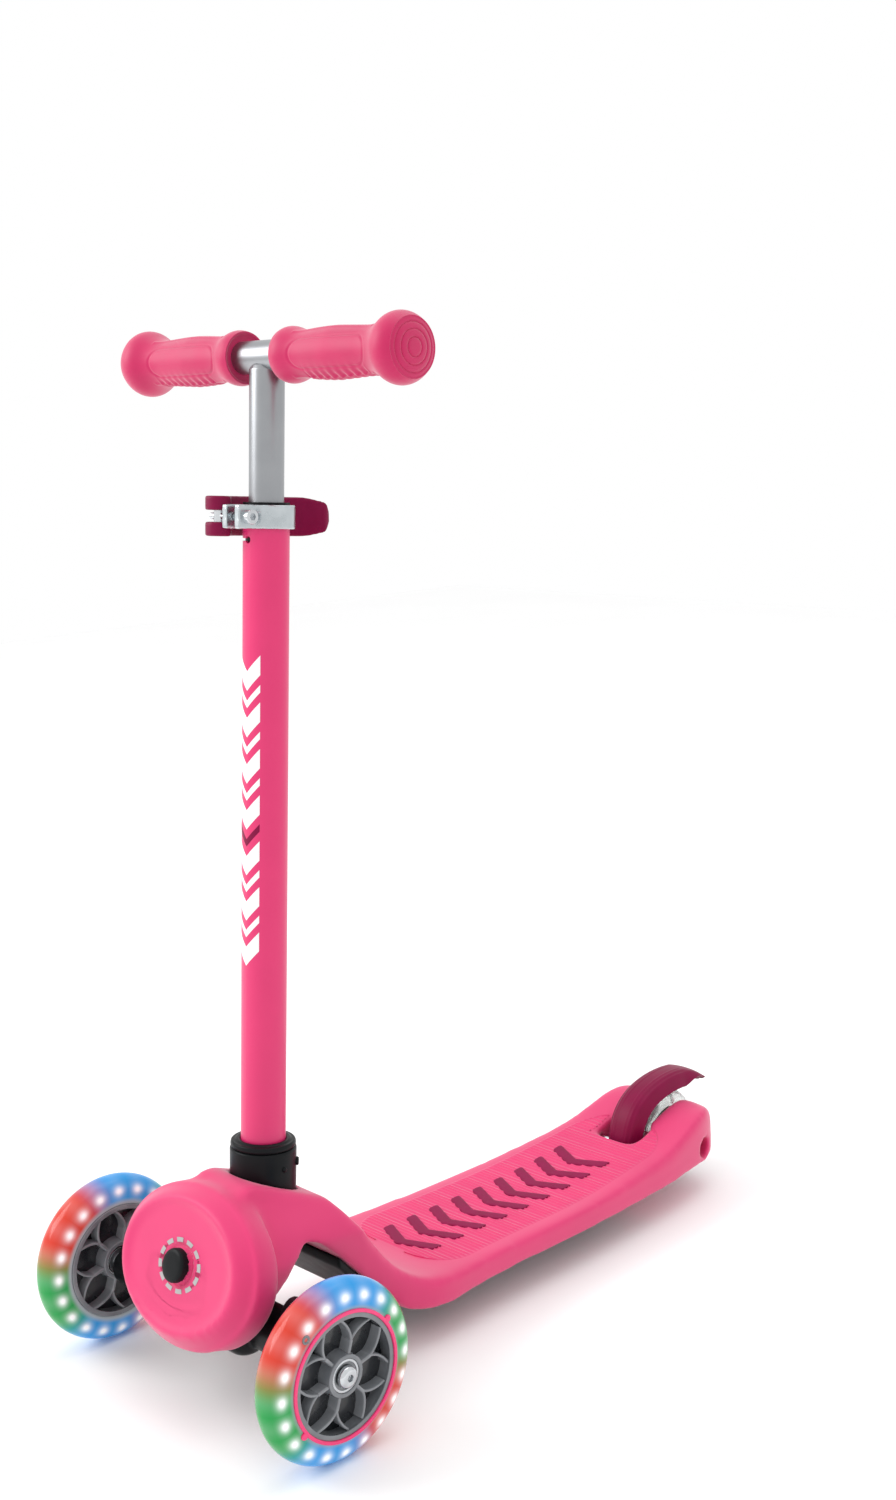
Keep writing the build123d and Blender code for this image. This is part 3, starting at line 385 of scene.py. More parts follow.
def ease(value, low, high):
    """0 below low, 1 above high, smooth between."""
    t = np.clip((value - low) / (high - low), 0, 1)
    return t * t * (3 - 2 * t)


def pillow(share):
    """Height of the disc's front over its rim plane: a dished oval field inside a soft raised ring."""
    ring = 2.6 * np.exp(-((share - RING_SHARE) / 0.06) ** 2)
    dish = -1.0 * (1 - ease(share, 0.30, 0.70))
    fall = -15.0 * np.clip((share - RING_SHARE) / (1 - RING_SHARE), 0, 1) ** 2.0
    return DISC_FACE + ring + dish + fall


def body_weight(co):
    """How strongly each point of the body is relaxed: less beside seats and bores."""
    amount = np.full(len(co), 0.5)
    about_bar = local(co, BAR)
    near_cup = np.abs(np.hypot(about_bar[:, 0], about_bar[:, 1]) - CUP_R) < 3.5
    amount[near_cup & (co[:, 2] > 95)] = 0.12
    about_disc = local(co, DISC)
    amount[(oval(about_disc, BUTTON_HALF) < 1.35) & (np.abs(about_disc[:, 2]) < 15)] = 0.05
    well = np.hypot(co[:, 0] - REAR_AXLE[0], co[:, 2] - REAR_AXLE[2]) < 12
    amount[well & (np.abs(co[:, 1]) > 27)] = 0.15
    slot = (np.abs(np.abs(co[:, 1]) - TAIL_SLOT_HALF) < 3) & (co[:, 0] < REAR_AXLE[0] + 46)
    amount[slot] = 0.2
    return amount


def soft_weight(co):
    """The tail's cheeks and the deck's shoulders are rounded further than the rest."""
    cheek = ease(np.abs(co[:, 1]), 24, 32) * (1 - ease(co[:, 0], REAR_AXLE[0] + 6, REAR_AXLE[0] + 30))
    shoulder = ease(np.abs(co[:, 1]), 30, 38) * (1 - ease(co[:, 0], 120, 150))
    amount = 0.5 * np.maximum(cheek, shoulder) * ease(co[:, 2], 42, 52)
    well = np.hypot(co[:, 0] - REAR_AXLE[0], co[:, 2] - REAR_AXLE[2]) < 14
    amount[well] = 0.0
    return amount


def shaped_disc(co, edges):
    """The body's points with the disc's front pillowed and its rim run softly into the head."""
    disc_co = local(co, DISC)
    share = oval(disc_co, DISC_HALF)
    facing = (disc_co[:, 2] > -14) & (share < 0.985)
    target = pillow(share)
    target -= 1.6 * np.exp(-((oval(disc_co, BUTTON_HALF) - 1.12) / 0.16) ** 2)
    mix = (1 - ease(share, 0.93, 0.985)) * ease(oval(disc_co, BUTTON_HALF), 1.0, 1.08)
    disc_co[:, 2] = np.where(facing, disc_co[:, 2] * (1 - mix) + target * mix, disc_co[:, 2])
    co = moved(disc_co, DISC)
    soft = 0.5 * ease(share, 0.30, 0.50) * (1 - ease(share, 1.12, 1.25)) * (np.abs(disc_co[:, 2]) < 30)
    return relax(co, edges, soft * (co[:, 0] > DISC[0, 3] - 40), RIM_ROUNDS)


body = moulded("deck_body", ["deck_shell", "front_cover"], SKIN_VOXEL, SKIN_ROUNDS, body_weight)
mesh = body.data
co = vertices_of(mesh)
co = relax(co, edges_of(mesh), soft_weight(co), SOFT_ROUNDS)
co = shaped_disc(co, edges_of(mesh))
mesh.vertices.foreach_set("co", (co * MM).ravel())
mesh.update()
dress(body, "deck", "deck", ["deck_shell", "front_cover"])
BODY_TREE = BVHTree.FromPolygons([tuple(v.co / MM) for v in mesh.vertices],
                                 [tuple(p.vertices) for p in mesh.polygons])


def top_of_body(x, y, start=90.0):
    """Height of the body's top skin above a point of the ground."""
    hit = BODY_TREE.ray_cast(Vector((x, y, start)), Vector((0, 0, -1)))[0]
    return hit.z if hit else 0.0


def side_of_body(x, z):
    """Half width of the body at a station."""
    hit = BODY_TREE.ray_cast(Vector((x, 120, z)), Vector((0, -1, 0)))[0]
    return hit.y if hit else 0.0


inlay_low, inlay_high = box("deck_inlay")
brake_low, brake_high = box("brake")
FIELD_FRONT = inlay_high[0] + 6
FIELD_REAR = REAR_AXLE[0] + 34
FIELD_END = 34.0
RECESS_FRONT = REAR_AXLE[0] + 60
FIELD_STEP = 0.75
RIB_PITCH = 3.9
RIB_RISE = 0.95
BORDER = 12.5


def standing_field():
    """The ribbed standing field: lateral ribs inside a fine raised border."""
    field_x = np.arange(FIELD_FRONT, FIELD_REAR, -FIELD_STEP)
    field_y = np.linspace(-1, 1, 61)
    field_co = []
    for x in field_x:
        from_end = min(FIELD_FRONT - x, x - FIELD_REAR)
        round_end = math.sqrt(1 - (1 - min(from_end / FIELD_END, 1)) ** 2)
        half = (side_of_body(x, top_of_body(x, 45) - 10) - BORDER) * (0.30 + 0.70 * round_end)
        for t in field_y:
            y = t * half
            edge = (1 - abs(t)) * half
            inside = ease(min(edge, from_end + 0.2), 1.6, 2.6)
            wave = 0.5 + 0.5 * math.cos(2 * math.pi * x / RIB_PITCH)
            bead = 0.85 * math.exp(-((edge - 0.9) / 0.7) ** 2)
            rise = -0.35 + min(edge / 0.5, 1) * 0.40 + bead + inside * (RIB_RISE * wave ** 3 - 0.05)
            field_co.append((x, y, top_of_body(x, y) + rise))
    field_co = np.array(field_co)
    faces = []
    for face in sheet_faces(len(field_x), len(field_y)):
        middle = field_co[list(face)].mean(0)
        if not (middle[0] < RECESS_FRONT + 3 and abs(middle[1]) < 24):
            faces.append(face)
    field = build("standing_field", field_co, faces, 60)
    dress(field, "deck", "deck")


INLAY_COUNT = 9
INLAY_LENGTH = 22
INLAY_ARM = 10
INLAY_HALF = (inlay_high[1] - inlay_low[1]) / 2


def deck_chevrons():
    """The inlay: soft-edged chevrons along the deck."""
    chevrons = []
    tip = INLAY_HALF - 3
    inlay_step = (inlay_high[0] - inlay_low[0] - INLAY_LENGTH) / (INLAY_COUNT - 1)
    for i in range(INLAY_COUNT):
        x = inlay_high[0] - INLAY_LENGTH - inlay_step * i
        outline = softened_outline([(0, tip), (INLAY_ARM, tip), (INLAY_LENGTH, 0),
                                    (INLAY_ARM, -tip), (0, -tip), (INLAY_LENGTH - INLAY_ARM, 0)],
                                   2.2)
        fine = []
        for a, b in zip(outline, outline[1:] + outline[:1]):
            steps = max(1, int(np.linalg.norm(b - a) / 3))
            fine += [a + (b - a) * k / steps for k in range(steps)]
        fine = np.array(fine)
        spine_x = np.interp(np.abs(fine[:, 1]), [0, tip],
                            [INLAY_LENGTH - INLAY_ARM / 2, INLAY_ARM / 2])
        spine = np.column_stack([spine_x, fine[:, 1]])
        rings = []
        for pull, rise in ((0.0, -0.3), (0.0, 0.75), (0.10, 1.05), (0.5, 1.1), (1.0, 1.1)):
            flat = fine + (spine - fine) * pull
            rings.append([(x + px, py, top_of_body(x + px, py) + rise) for px, py in flat])
        chevrons.append(build("chevron", np.concatenate(rings),
                              sheet_faces(len(rings), len(fine), wrap=True), 50))
    inlay = joined("deck_chevrons", chevrons)
    dress(inlay, "inlay", "deck", ["deck_inlay"])


DASHES = 12
MARK_R = (16.2, 19.4)
MARK_OVAL = (1.15, 0.93)


def front_mark():
    """A plain ring of dashes printed round the lock button."""
    mark = []
    for i in range(DASHES):
        start = 2 * math.pi * i / DASHES
        turns = np.linspace(start + 0.08, start + 0.40, 9)
        dash = []
        for a in turns:
            for r in np.linspace(*MARK_R, 4):
                x, y = r * MARK_OVAL[0] * math.cos(a), r * MARK_OVAL[1] * math.sin(a)
                rise = pillow(math.hypot(x / DISC_HALF[0], y / DISC_HALF[1]))
                dash.append((x, y, rise + 0.22))
        mark.append(build("dash", moved(dash, DISC), sheet_faces(9, 4)))
    dress(joined("front_mark", mark), "grey_mark", "deck")


def lock_cap():
    """The lock button: an oval black cap with a domed face."""
    button_high = span("lock_button", DISC)[1]
    profile = ((1.0, -1.5), (1.0, button_high - 2.2), (0.96, button_high - 1.0),
               (0.88, button_high - 0.3), (0.7, button_high), (0.35, button_high + 0.15))
    turns = np.linspace(0, 2 * math.pi, 72, endpoint=False)
    co = [(BUTTON_HALF[0] * pull * math.cos(a), BUTTON_HALF[1] * pull * math.sin(a), z)
          for pull, z in profile for a in turns]
    faces = sheet_faces(len(profile), len(turns), wrap=True)
    faces += [list(range(len(turns)))[::-1], list(range(len(co) - len(turns), len(co)))]
    cap = build("lock_cap", moved(co, DISC), faces)
    dress(cap, "black", "lock_button", ["lock_button"])


standing_field()
deck_chevrons()
front_mark()
lock_cap()

# ---------------------------------------------------------------- collar
cup_high = span("bar_socket", BAR)[1]
ring_low, ring_high = span("collar_ring", BAR)
TUBE_R = (tube_high[1] - tube_low[1]) / 2
CUP_HEIGHT = 39.0
cup = lathe("collar_cup", BAR, [
    (TUBE_R + 0.1, cup_high - CUP_HEIGHT), (CUP_R - 0.2, cup_high - CUP_HEIGHT),
    (CUP_R, cup_high - 1.0), (CUP_R - 1.6, cup_high), (TUBE_R + 0.1, cup_high)], 1.2)
nub = lathe("nub", place(moved([(0, CUP_R - 0.3, cup_high - 12)], BAR)[0], (0, 1, 0), bar_axis),
            [(0.01, -1), (2.0, -1), (1.9, 0.8), (0.8, 1.5), (0.01, 1.5)], 0.4, 24)
dress(joined("bar_cup", [cup, nub]), "black", "deck", ["bar_socket"])
cap_ring = lathe("collar_cap", BAR, [
    (TUBE_R + 0.05, ring_low), (CUP_R - 1.2, ring_low), (CUP_R - 0.3, ring_low + 1.4),
    (CUP_R - 0.9, ring_low + 4.6), (CUP_R - 3.4, ring_high - 1.3), (TUBE_R + 2.6, ring_high),
    (TUBE_R + 0.05, ring_high - 0.4)], 1.6)
dress(cap_ring, "black", "deck", ["collar_ring"])

# ---------------------------------------------------------------- tubes
foot = span("lower_tube", BAR)[0]
for node, material in (("lower_tube", "paint"), ("guide_sleeve", "black")):
    dress(frame["nodes"][node], material)

PRINT_LOW, PRINT_HIGH = foot + 200, foot + 400
PRINT_TURN = math.radians(38)
PRINT_LEAN = 11.0 / PRINT_TURN
PRINT_GAP = 6.5
STRIPE_WIDTHS = (13.0, 5.0)
ACCENT_STRIPE = 5


def wrapped(name, low_edge, high_edge):
    """A thin print on the tube: its lower and upper edges are functions of the turn."""
    turns = np.linspace(-PRINT_TURN, PRINT_TURN, 33)
    rows = []
    for t in np.linspace(0, 1, 5):
        for a in turns:
            z = low_edge(a) + (high_edge(a) - low_edge(a)) * t
            rows.append(((TUBE_R + 0.08) * math.cos(a), (TUBE_R + 0.08) * math.sin(a), z))
    return build(name, moved(rows, BAR), sheet_faces(5, 33))


def tube_prints():
    """Plain chevron stripes, wide and narrow in turn, printed on the front of the lower tube."""
    prints = {"white": [], "berry": []}
    stripe = 0
    z = PRINT_LOW
    while z < PRINT_HIGH:
        kind = "berry" if stripe == ACCENT_STRIPE else "white"
        width = STRIPE_WIDTHS[stripe % 2]
        prints[kind].append(wrapped("stripe", lambda a, z=z: z + abs(a) * PRINT_LEAN,
                                    lambda a, z=z: z + width + abs(a) * PRINT_LEAN))
        z += width + PRINT_GAP
        stripe += 1
    dress(joined("tube_stripes", prints["white"]), "white", "deck")
    dress(joined("tube_accent", prints["berry"]), "berry", "deck")


tube_prints()

CROSS = place(box("cross_tube")[0] * 0.5 + box("cross_tube")[1] * 0.5, (0, 1, 0), (1, 0, 0))
CROSS_R = reach("cross_tube", CROSS)
UPPER_R = (box("upper_tube")[1][1] - box("upper_tube")[0][1]) / 2
WALL = 1.8


def silver_tube(node, grid, radius, slope):
    """A round, smooth silver tube, its outer edge drawn back by slope at the far end."""
    low, high = span(node, grid)
    skin = lathe(node + "_skin", grid, [(radius - WALL, low), (radius, low),
                                        (radius, high - slope), (radius - WALL, high)], 0.4, 128)
    dress(skin, "silver", "handlebar", [node])


silver_tube("upper_tube", BAR, UPPER_R, 3)
silver_tube("cross_tube", CROSS, CROSS_R, 0)


# ---------------------------------------------------------------- grips
def grip(side, sign):
    """A moulded grip: inner collar, palm with a grooved panel and finger serrations, domed cap."""
    low, high = box("grip_" + side)
    inner, outer = (low[1], high[1]) if sign > 0 else (-high[1], -low[1])
    length = outer - inner
    line = place((CROSS[0, 3], 0, CROSS[2, 3]), (0, sign, 0), (1, 0, 0))
    reach_out = reach("grip_" + side, line)
    keys = [(0.000, 17.2), (0.030, 18.7), (0.075, 17.9), (0.135, 15.2), (0.20, 15.1),
            (0.30, 16.0), (0.42, 16.6), (0.55, 15.8), (0.68, 15.0), (0.745, 15.6),
            (0.80, 18.2), (0.85, reach_out - 1.0), (0.895, reach_out), (0.94, reach_out - 1.2),
            (0.975, reach_out - 4.0)]
    stations = np.linspace(0, 0.975, 170)
    s, r = np.array(keys).T
    radius = np.interp(stations, s, r)
    for _ in range(30):
        radius[1:-1] += 0.5 * (0.5 * (radius[2:] + radius[:-2]) - radius[1:-1])
    turns = np.linspace(0, 2 * math.pi, 192, endpoint=False)
    rows = []
    for depth, r_in in ((2.4, CROSS_R + 0.3), (2.2, 14.2), (0.7, 15.6), (0.0, 16.4)):
        rows.append([(r_in * math.cos(a), r_in * math.sin(a), inner + depth) for a in turns])
    for t, r in zip(stations, radius):
        along = t * length
        row = []
        for a in turns:
            swing = math.atan2(math.sin(a), math.cos(a))
            arc = r * swing
            panel = abs(math.hypot(max(abs(along - 0.44 * length) - 25, 0), arc) - 10.5)
            groove = -0.55 * math.exp(-(panel / 0.75) ** 2)
            wave = abs(abs(arc) - 17 - 3.0 * math.sin(math.pi * (t - 0.1) / 0.65))
            ridge = 0.7 * math.exp(-(wave / 1.6) ** 2) * float(0.12 < t < 0.76)
            below = max(0.0, sign * math.sin(a)) ** 4
            fingers = 0.9 * below * math.sin(2 * math.pi * along / 7.0) * float(0.22 < t < 0.72)
            rr = r + groove + ridge * 0.8 + fingers
            row.append((rr * math.cos(a), rr * math.sin(a), inner + along))
        rows.append(row)
    cap_r = radius[-1]
    for share_r in (0.97, 0.93, 0.88, 0.84, 0.80, 0.76, 0.70, 0.64, 0.60, 0.57, 0.54, 0.50,
                    0.44, 0.38, 0.34, 0.31, 0.28, 0.22, 0.15, 0.08, 0.03):
        dome = outer - 0.6 - 3.0 * share_r ** 2.6
        for ring_at in (0.80, 0.57, 0.31):
            dome -= 0.7 * math.exp(-((share_r - ring_at) / 0.022) ** 2)
        rows.append([(cap_r * share_r * math.cos(a), cap_r * share_r * math.sin(a), dome)
                     for a in turns])
    flat = [p for row in rows for p in row]
    faces = sheet_faces(len(rows), len(turns), wrap=True)
    faces.append(list(range(len(flat) - len(turns), len(flat))))
    faces.append(list(range(len(turns)))[::-1])
    piece = build("grip_skin_" + side, moved(flat, line), faces, 60)
    dress(piece, "grip", "handlebar", ["grip_" + side])


grip("left", 1)
grip("right", -1)

# ---------------------------------------------------------------- clamp and lever
lever = moulded("lever_skin", ["clamp_lever"], 0.8, 8)
dress(lever, "berry", "clamp_lever", ["clamp_lever"])
band = moulded("band_skin", ["clamp_band"], 0.5, 8)
dress(band, "clamp", "deck", ["clamp_band"])

# ---------------------------------------------------------------- truck
truck = moulded("truck_skin", ["truck_beam"], 1.2, 6)
dress(truck, "truck", "front_truck", ["truck_beam"])
liner = moulded("liner_skin", ["arch_liner"], 1.2, 6)
dress(liner, "liner", "deck", ["arch_liner"])

# ---------------------------------------------------------------- front wheels
TYRE_R = reach("front_tyre_left", place(WHEELS["left"], (0, 1, 0), (1, 0, 0)))
RIM_R = reach("front_rim_left", place(WHEELS["left"], (0, 1, 0), (1, 0, 0)))
HUB_R = 14.0
LAMPS = 20
LAMP_R = 52.6
BLUE, GREEN, RED = (0.01, 0.24, 0.58), (0.003, 0.26, 0.045), (0.52, 0.03, 0.012)
HUES = [GREEN, RED, BLUE] * 2
HUE_START = math.radians(15)


def glow_material():
    """Clear tyre lit from inside: its own colour and its light both come from the painted glow."""
    material = finish("lit_tyre", (0.8, 0.8, 0.8), rough=(0.12, 0.2), Coat_Weight=0.1,
                      IOR=1.46, Specular_IOR_Level=0.25, Emission_Strength=0.22)
    nodes, links = material.node_tree.nodes, material.node_tree.links
    paint = nodes.new("ShaderNodeAttribute")
    paint.attribute_name = "glow"
    shader = nodes["Principled BSDF"]
    links.new(paint.outputs["Color"], shader.inputs["Base Color"])
    links.new(paint.outputs["Color"], shader.inputs["Emission Color"])
    return material


MATERIALS["glow"] = glow_material()


def light_colour(r, turn):
    """Colour of the lit tyre at a radius and angle: hue by angle, white round each lamp."""
    place_in = (turn / (2 * math.pi) * len(HUES)) % len(HUES)
    first = int(place_in)
    mix = ease(place_in - first, 0.25, 0.75)
    hue = np.array(HUES[first]) * (1 - mix) + np.array(HUES[(first + 1) % len(HUES)]) * mix
    step = 2 * math.pi / LAMPS
    off = (turn + step / 2) % step - step / 2
    spot = math.exp(-((off * LAMP_R / 3.4) ** 2 + ((r - LAMP_R) / 3.6) ** 2))
    halo = math.exp(-((off * LAMP_R / 6.5) ** 2 + ((r - LAMP_R) / 6.5) ** 2))
    clear = ease(r, RIM_R + 1.0, RIM_R + 5.5)
    colour = np.array((0.30, 0.34, 0.36)) * (1 - clear) + hue * clear
    colour = colour * (1 - 0.25 * halo) + np.array((0.9, 0.93, 1.0)) * 0.25 * halo
    return np.clip(colour * (1 - spot) + spot, 0, 1)


def lit_tyre(side, grid):
    """A clear tyre with flat sides and a rounded tread, painted with the glow of its lamps."""
    half = 12.0
    edge = TYRE_R - 11.5
    outline = [(RIM_R + 0.1, -half + 0.6), (RIM_R + 0.8, -half)]
    outline += [(r, -half) for r in np.linspace(RIM_R + 2, edge, 8)]
    outline += [(edge + (TYRE_R - edge) * math.sin(a), -half * math.cos(a))
                for a in np.linspace(0, math.pi, 30)[1:-1]]
    outline += [(r, half) for r in np.linspace(edge, RIM_R + 2, 8)]
    outline += [(RIM_R + 0.8, half), (RIM_R + 0.1, half - 0.6)]
    turns = np.linspace(0, 2 * math.pi, 300, endpoint=False)
    co, paint = [], []
    for r, z in outline:
        for a in turns:
            co.append((r * math.cos(a), r * math.sin(a), z))
            height = max(r - edge, 0)
            flat_r = r + 0.35 * height * (1 if abs(z) > 4 else 0.4)
            paint.append((*light_colour(min(flat_r, TYRE_R), HUE_START - grid[1, 2] * a), 1.0))
    faces = sheet_faces(len(outline), len(turns), wrap=True)
    last = (len(outline) - 1) * len(turns)
    faces += [(last + j, last + (j + 1) % len(turns), (j + 1) % len(turns), j)
              for j in range(len(turns))]
    tyre = build("lit_tyre_" + side, moved(co, grid), faces, 60)
    layer = tyre.data.color_attributes.new("glow", "FLOAT_COLOR", "POINT")
    layer.data.foreach_set("color", np.array(paint, np.float32).ravel())
    dress(tyre, "glow", "front_wheel_" + side,
          ["front_tyre_" + side, "light_ring_" + side])


def ridge(points_in, width, low, high, grid):
    """A round-topped bar that follows a line of points in a placing matrix's XY plane."""
    line = np.array(points_in, float)
    along = np.gradient(line, axis=0)
    along /= np.linalg.norm(along, axis=1)[:, None]
    across = np.column_stack([-along[:, 1], along[:, 0]])
    profile = [(-0.5, low), (-0.5, high - 0.9), (-0.34, high - 0.25), (0.0, high),
               (0.34, high - 0.25), (0.5, high - 0.9), (0.5, low)]
    rows = []
    for p, q in zip(line, across):
        rows += [(p[0] + q[0] * s * width, p[1] + q[1] * s * width, z) for s, z in profile]
    count = len(profile)
    faces = sheet_faces(len(line), count)
    faces += [[i * count, i * count + count - 1, (i + 1) * count + count - 1, (i + 1) * count]
              for i in range(len(line) - 1)]
    faces += [list(range(count))[::-1],
              list(range((len(line) - 1) * count, len(line) * count))]
    return build("ridge", moved(rows, grid), faces, 50)


def bezier(start, bend, end, steps=12):
    """Points of a quadratic curve."""
    t = np.linspace(0, 1, steps)[:, None]
    start, bend, end = (np.array(p, float) for p in (start, bend, end))
    return (1 - t) ** 2 * start + 2 * t * (1 - t) * bend + t ** 2 * end


def polar(r, turn):
    """A point of a placing matrix's XY plane at a radius and angle."""
    return (r * math.cos(turn), r * math.sin(turn))


SPOKES = 6


def rim(side, grid):
    """A smoke-grey core: band, hub, a dark web and forked spokes on both faces."""
    face = 12.4
    band_in = RIM_R - 3.6
    pieces = [
        lathe("rim_band", grid, [(band_in, -face), (RIM_R, -face), (RIM_R, face),
                                 (band_in, face), (band_in + 0.9, face - 3),
                                 (band_in + 0.9, 3 - face)], 0.7, 144),
        lathe("rim_hub", grid, [(11.1, -face), (HUB_R, -face), (HUB_R + 1.2, 0),
                                (HUB_R, face), (11.1, face)], 0.7, 96),
    ]
    sector = 2 * math.pi / SPOKES
    for level in (1, -1):
        mirror_grid = grid.copy()
        mirror_grid[:3, 2] *= level
        mirror_grid[:3, 1] *= level
        for i in range(SPOKES):
            turn = i * sector + 0.2
            fork = polar(22.5, turn)
            pieces.append(ridge(bezier(polar(HUB_R - 0.5, turn), polar(18, turn), fork, 5), 2.6,
                                -1, face - 1.2, mirror_grid))
            for lean in (1, -1):
                pieces.append(ridge(
                    bezier(fork, polar(30.5, turn + lean * 0.08),
                           polar(band_in + 0.6, turn + lean * 0.36), 12),
                    2.0, -1, face - 1.6, mirror_grid))
    dress(joined("rim_core_" + side, pieces), "rim", "front_wheel_" + side,
          ["front_rim_" + side])
    web = lathe("rim_web_" + side, grid, [(HUB_R - 1, -2.2), (band_in + 1.2, -2.6),
                                          (band_in + 1.2, 2.6), (HUB_R - 1, 2.2)], 0.4, 96)
    dress(web, "web", "front_wheel_" + side)


def trim_ring(side, grid):
    """The thin coloured ring on the outboard face, with two lugs, and a small valve fitting."""
    low, high = 12.05, 13.5
    ring = lathe("trim_band", grid, [(RIM_R - 0.3, low), (RIM_R + 2.4, low),
                                     (RIM_R + 2.2, high), (RIM_R - 0.1, high)], 0.5, 180)
    lugs = []
    for turn in (math.radians(35), math.radians(215)):
        seat = place(moved([(*polar(RIM_R + 3.2, turn), low)], grid)[0], grid[:3, 2],
                     grid[:3, 0])
        lugs.append(lathe("lug", seat, [(0.01, 0), (2.7, 0), (2.4, 1.3), (0.01, 1.5)], 0.4, 32))
    dress(joined("trim_ring_" + side, [ring] + lugs), "ring", "front_wheel_" + side,
          ["rim_ring_" + side])
    seat = place(moved([(*polar(48.0, math.radians(-50)), 12.0)], grid)[0], grid[:3, 2],
                 grid[:3, 0])
    fitting = lathe("fitting_" + side, seat, [(1.3, -1), (3.1, -1), (3.0, 0.6), (2.2, 1.1),
                                              (1.6, 0.3), (1.3, 0.3)], 0.3, 36)
    dress(fitting, "rim", "front_wheel_" + side)


def hub_parts(side, grid):
    """Bearings with dark shields and the domed socket bolt."""
    top = span("axle_bolt_" + side, grid)[1]
    for end, name in ((1, "outer_bearing_"), (-1, "inner_bearing_")):
        low, high = span(name + side, grid)
        out = max(abs(low), abs(high)) * end
        back = min(abs(low), abs(high)) * end
        race = lathe("race", grid, [(9.2, out), (11.0, out), (11.0, back), (9.2, back)], 0.4)
        inner = lathe("inner", grid, [(4.1, out), (6.0, out), (6.0, back), (4.1, back)], 0.3)
        shield = lathe("shield", grid, [(5.9, out - 0.45 * end), (9.3, out - 0.6 * end),
                                        (9.3, out - 1.2 * end), (5.9, out - 1.2 * end)], 0.1)
        dress(joined(name + "rings_" + side, [race, inner]), "steel", "front_wheel_" + side,
              [name + side])
        dress(shield, "dark_steel", "front_wheel_" + side)
        shield.name = name + "shield_" + side
    bolt = lathe("bolt_head_" + side, grid, [
        (4.0, top - 4.2), (7.4, top - 4.2), (7.5, top - 3.4), (6.4, top - 1.5), (4.6, top - 0.3),
        (3.3, top), (2.5, top - 0.25), (2.4, top - 2.6), (0.02, top - 2.9), (0.02, top - 3.2),
        (3.2, top - 4.2)], 0.5, 64)
    dress(bolt, "steel", "front_truck")


for side, sign in (("left", 1), ("right", -1)):
    wheel = place(WHEELS[side], (0, sign, 0), (sign, 0, 0))
    lit_tyre(side, wheel)
    rim(side, wheel)
    trim_ring(side, wheel)
    hub_parts(side, wheel)
    for node in ("axle_bolt_" + side, "magnet_sleeve_" + side):
        dress(frame["nodes"][node], "steel")

# ---------------------------------------------------------------- rear wheel
REAR = place(REAR_AXLE, (0, 1, 0), (1, 0, 0))
REAR_R = reach("rear_tyre", REAR)
CORE_R = reach("rear_rim", REAR)
half = span("rear_tyre", REAR)[1]
outline = [(CORE_R + 0.1, -half + 0.5), (CORE_R + 1, -half)]
outline += [(REAR_R - 11 + 11 * math.sin(a), -half * math.cos(a))
            for a in np.linspace(0.12, math.pi - 0.12, 20)]
outline += [(CORE_R + 1, half), (CORE_R + 0.1, half - 0.5)]
tyre = lathe("rear_tyre_skin", REAR, outline, 0.1, 144)
dress(tyre, "rear_tyre", "rear_wheel", ["rear_tyre"])
for node, material in (("rear_rim", "rear_core"), ("rear_bearing_left", "steel"),
                       ("rear_bearing_right", "steel"), ("rear_axle_bolt", "steel"),
                       ("rear_axle_nut", "steel"), ("rear_spacers", "steel"),
                       ("rear_hub_sleeve", "steel"), ("brake_pin", "steel"),
                       ("brake_spring", "dark_steel"), ("axle_spacers", "steel"),
                       ("pivot_bushings", "bushing"), ("kingpin", "steel"),
                       ("steering_bracket", "liner"), ("bracket_screws", "steel"),
                       ("centring_spring_left", "dark_steel"),
                       ("centring_spring_right", "dark_steel"), ("lock_spring", "dark_steel"),
                       ("release_spring", "dark_steel"), ("release_button", "black"),
                       ("underframe", "liner"), ("underframe_screws", "steel"),
                       ("guide_bush", "black"), ("clamp_bolt", "steel"),
                       ("clamp_washer", "steel"), ("barrel_nut", "steel")):
    dress(frame["nodes"][node], material)

# the dark floor of the recess in front of the brake
RECESS_HALF = 23.0
recess_back = REAR_AXLE[0] + REAR_R + 3
tray = [(recess_back, -RECESS_HALF), (RECESS_FRONT + 2, -RECESS_HALF),
        (RECESS_FRONT + 2, RECESS_HALF), (recess_back, RECESS_HALF)]
floor_plate = prism("recess_floor", np.eye(4), softened_outline(tray, 4), 29.0, 31.0)
dress(floor_plate, "liner", "deck")

# ---------------------------------------------------------------- brake
BRAKE_HALF = (brake_high[1] - brake_low[1]) / 2
BRAKE_STATIONS = 96
BRAKE_ACROSS = 41
brake_mesh = frame["nodes"]["brake"].data
BRAKE_TREE = BVHTree.FromPolygons([tuple(v.co / MM) for v in brake_mesh.vertices],
                                  [tuple(p.vertices) for p in brake_mesh.polygons])


def brake_crown(count):
    """Stations along the fender's top line, closer together at its tip, and how far along they are."""
    crown = []
    for x in np.linspace(brake_high[0] - 0.8, brake_low[0] + 0.4, 60):
        hit = BRAKE_TREE.ray_cast(Vector((x, 4, 150)), Vector((0, 0, -1)))[0]
        if hit:
            crown.append((x, hit.z))
    crown = np.array(crown)
    crown = np.vstack([[crown[0][0] + 1.0, crown[0][1] - 14], crown])
    steps = np.concatenate([[0], np.cumsum(np.linalg.norm(np.diff(crown, axis=0), axis=1))])
    along = steps[-1] * (1 - (1 - np.linspace(0, 1, count)) ** 1.5)
    crown = np.column_stack([np.interp(along, steps, crown[:, k]) for k in range(2)])
    for _ in range(6):
        crown[1:-1] += 0.5 * (0.5 * (crown[2:] + crown[:-2]) - crown[1:-1])
    return crown, along


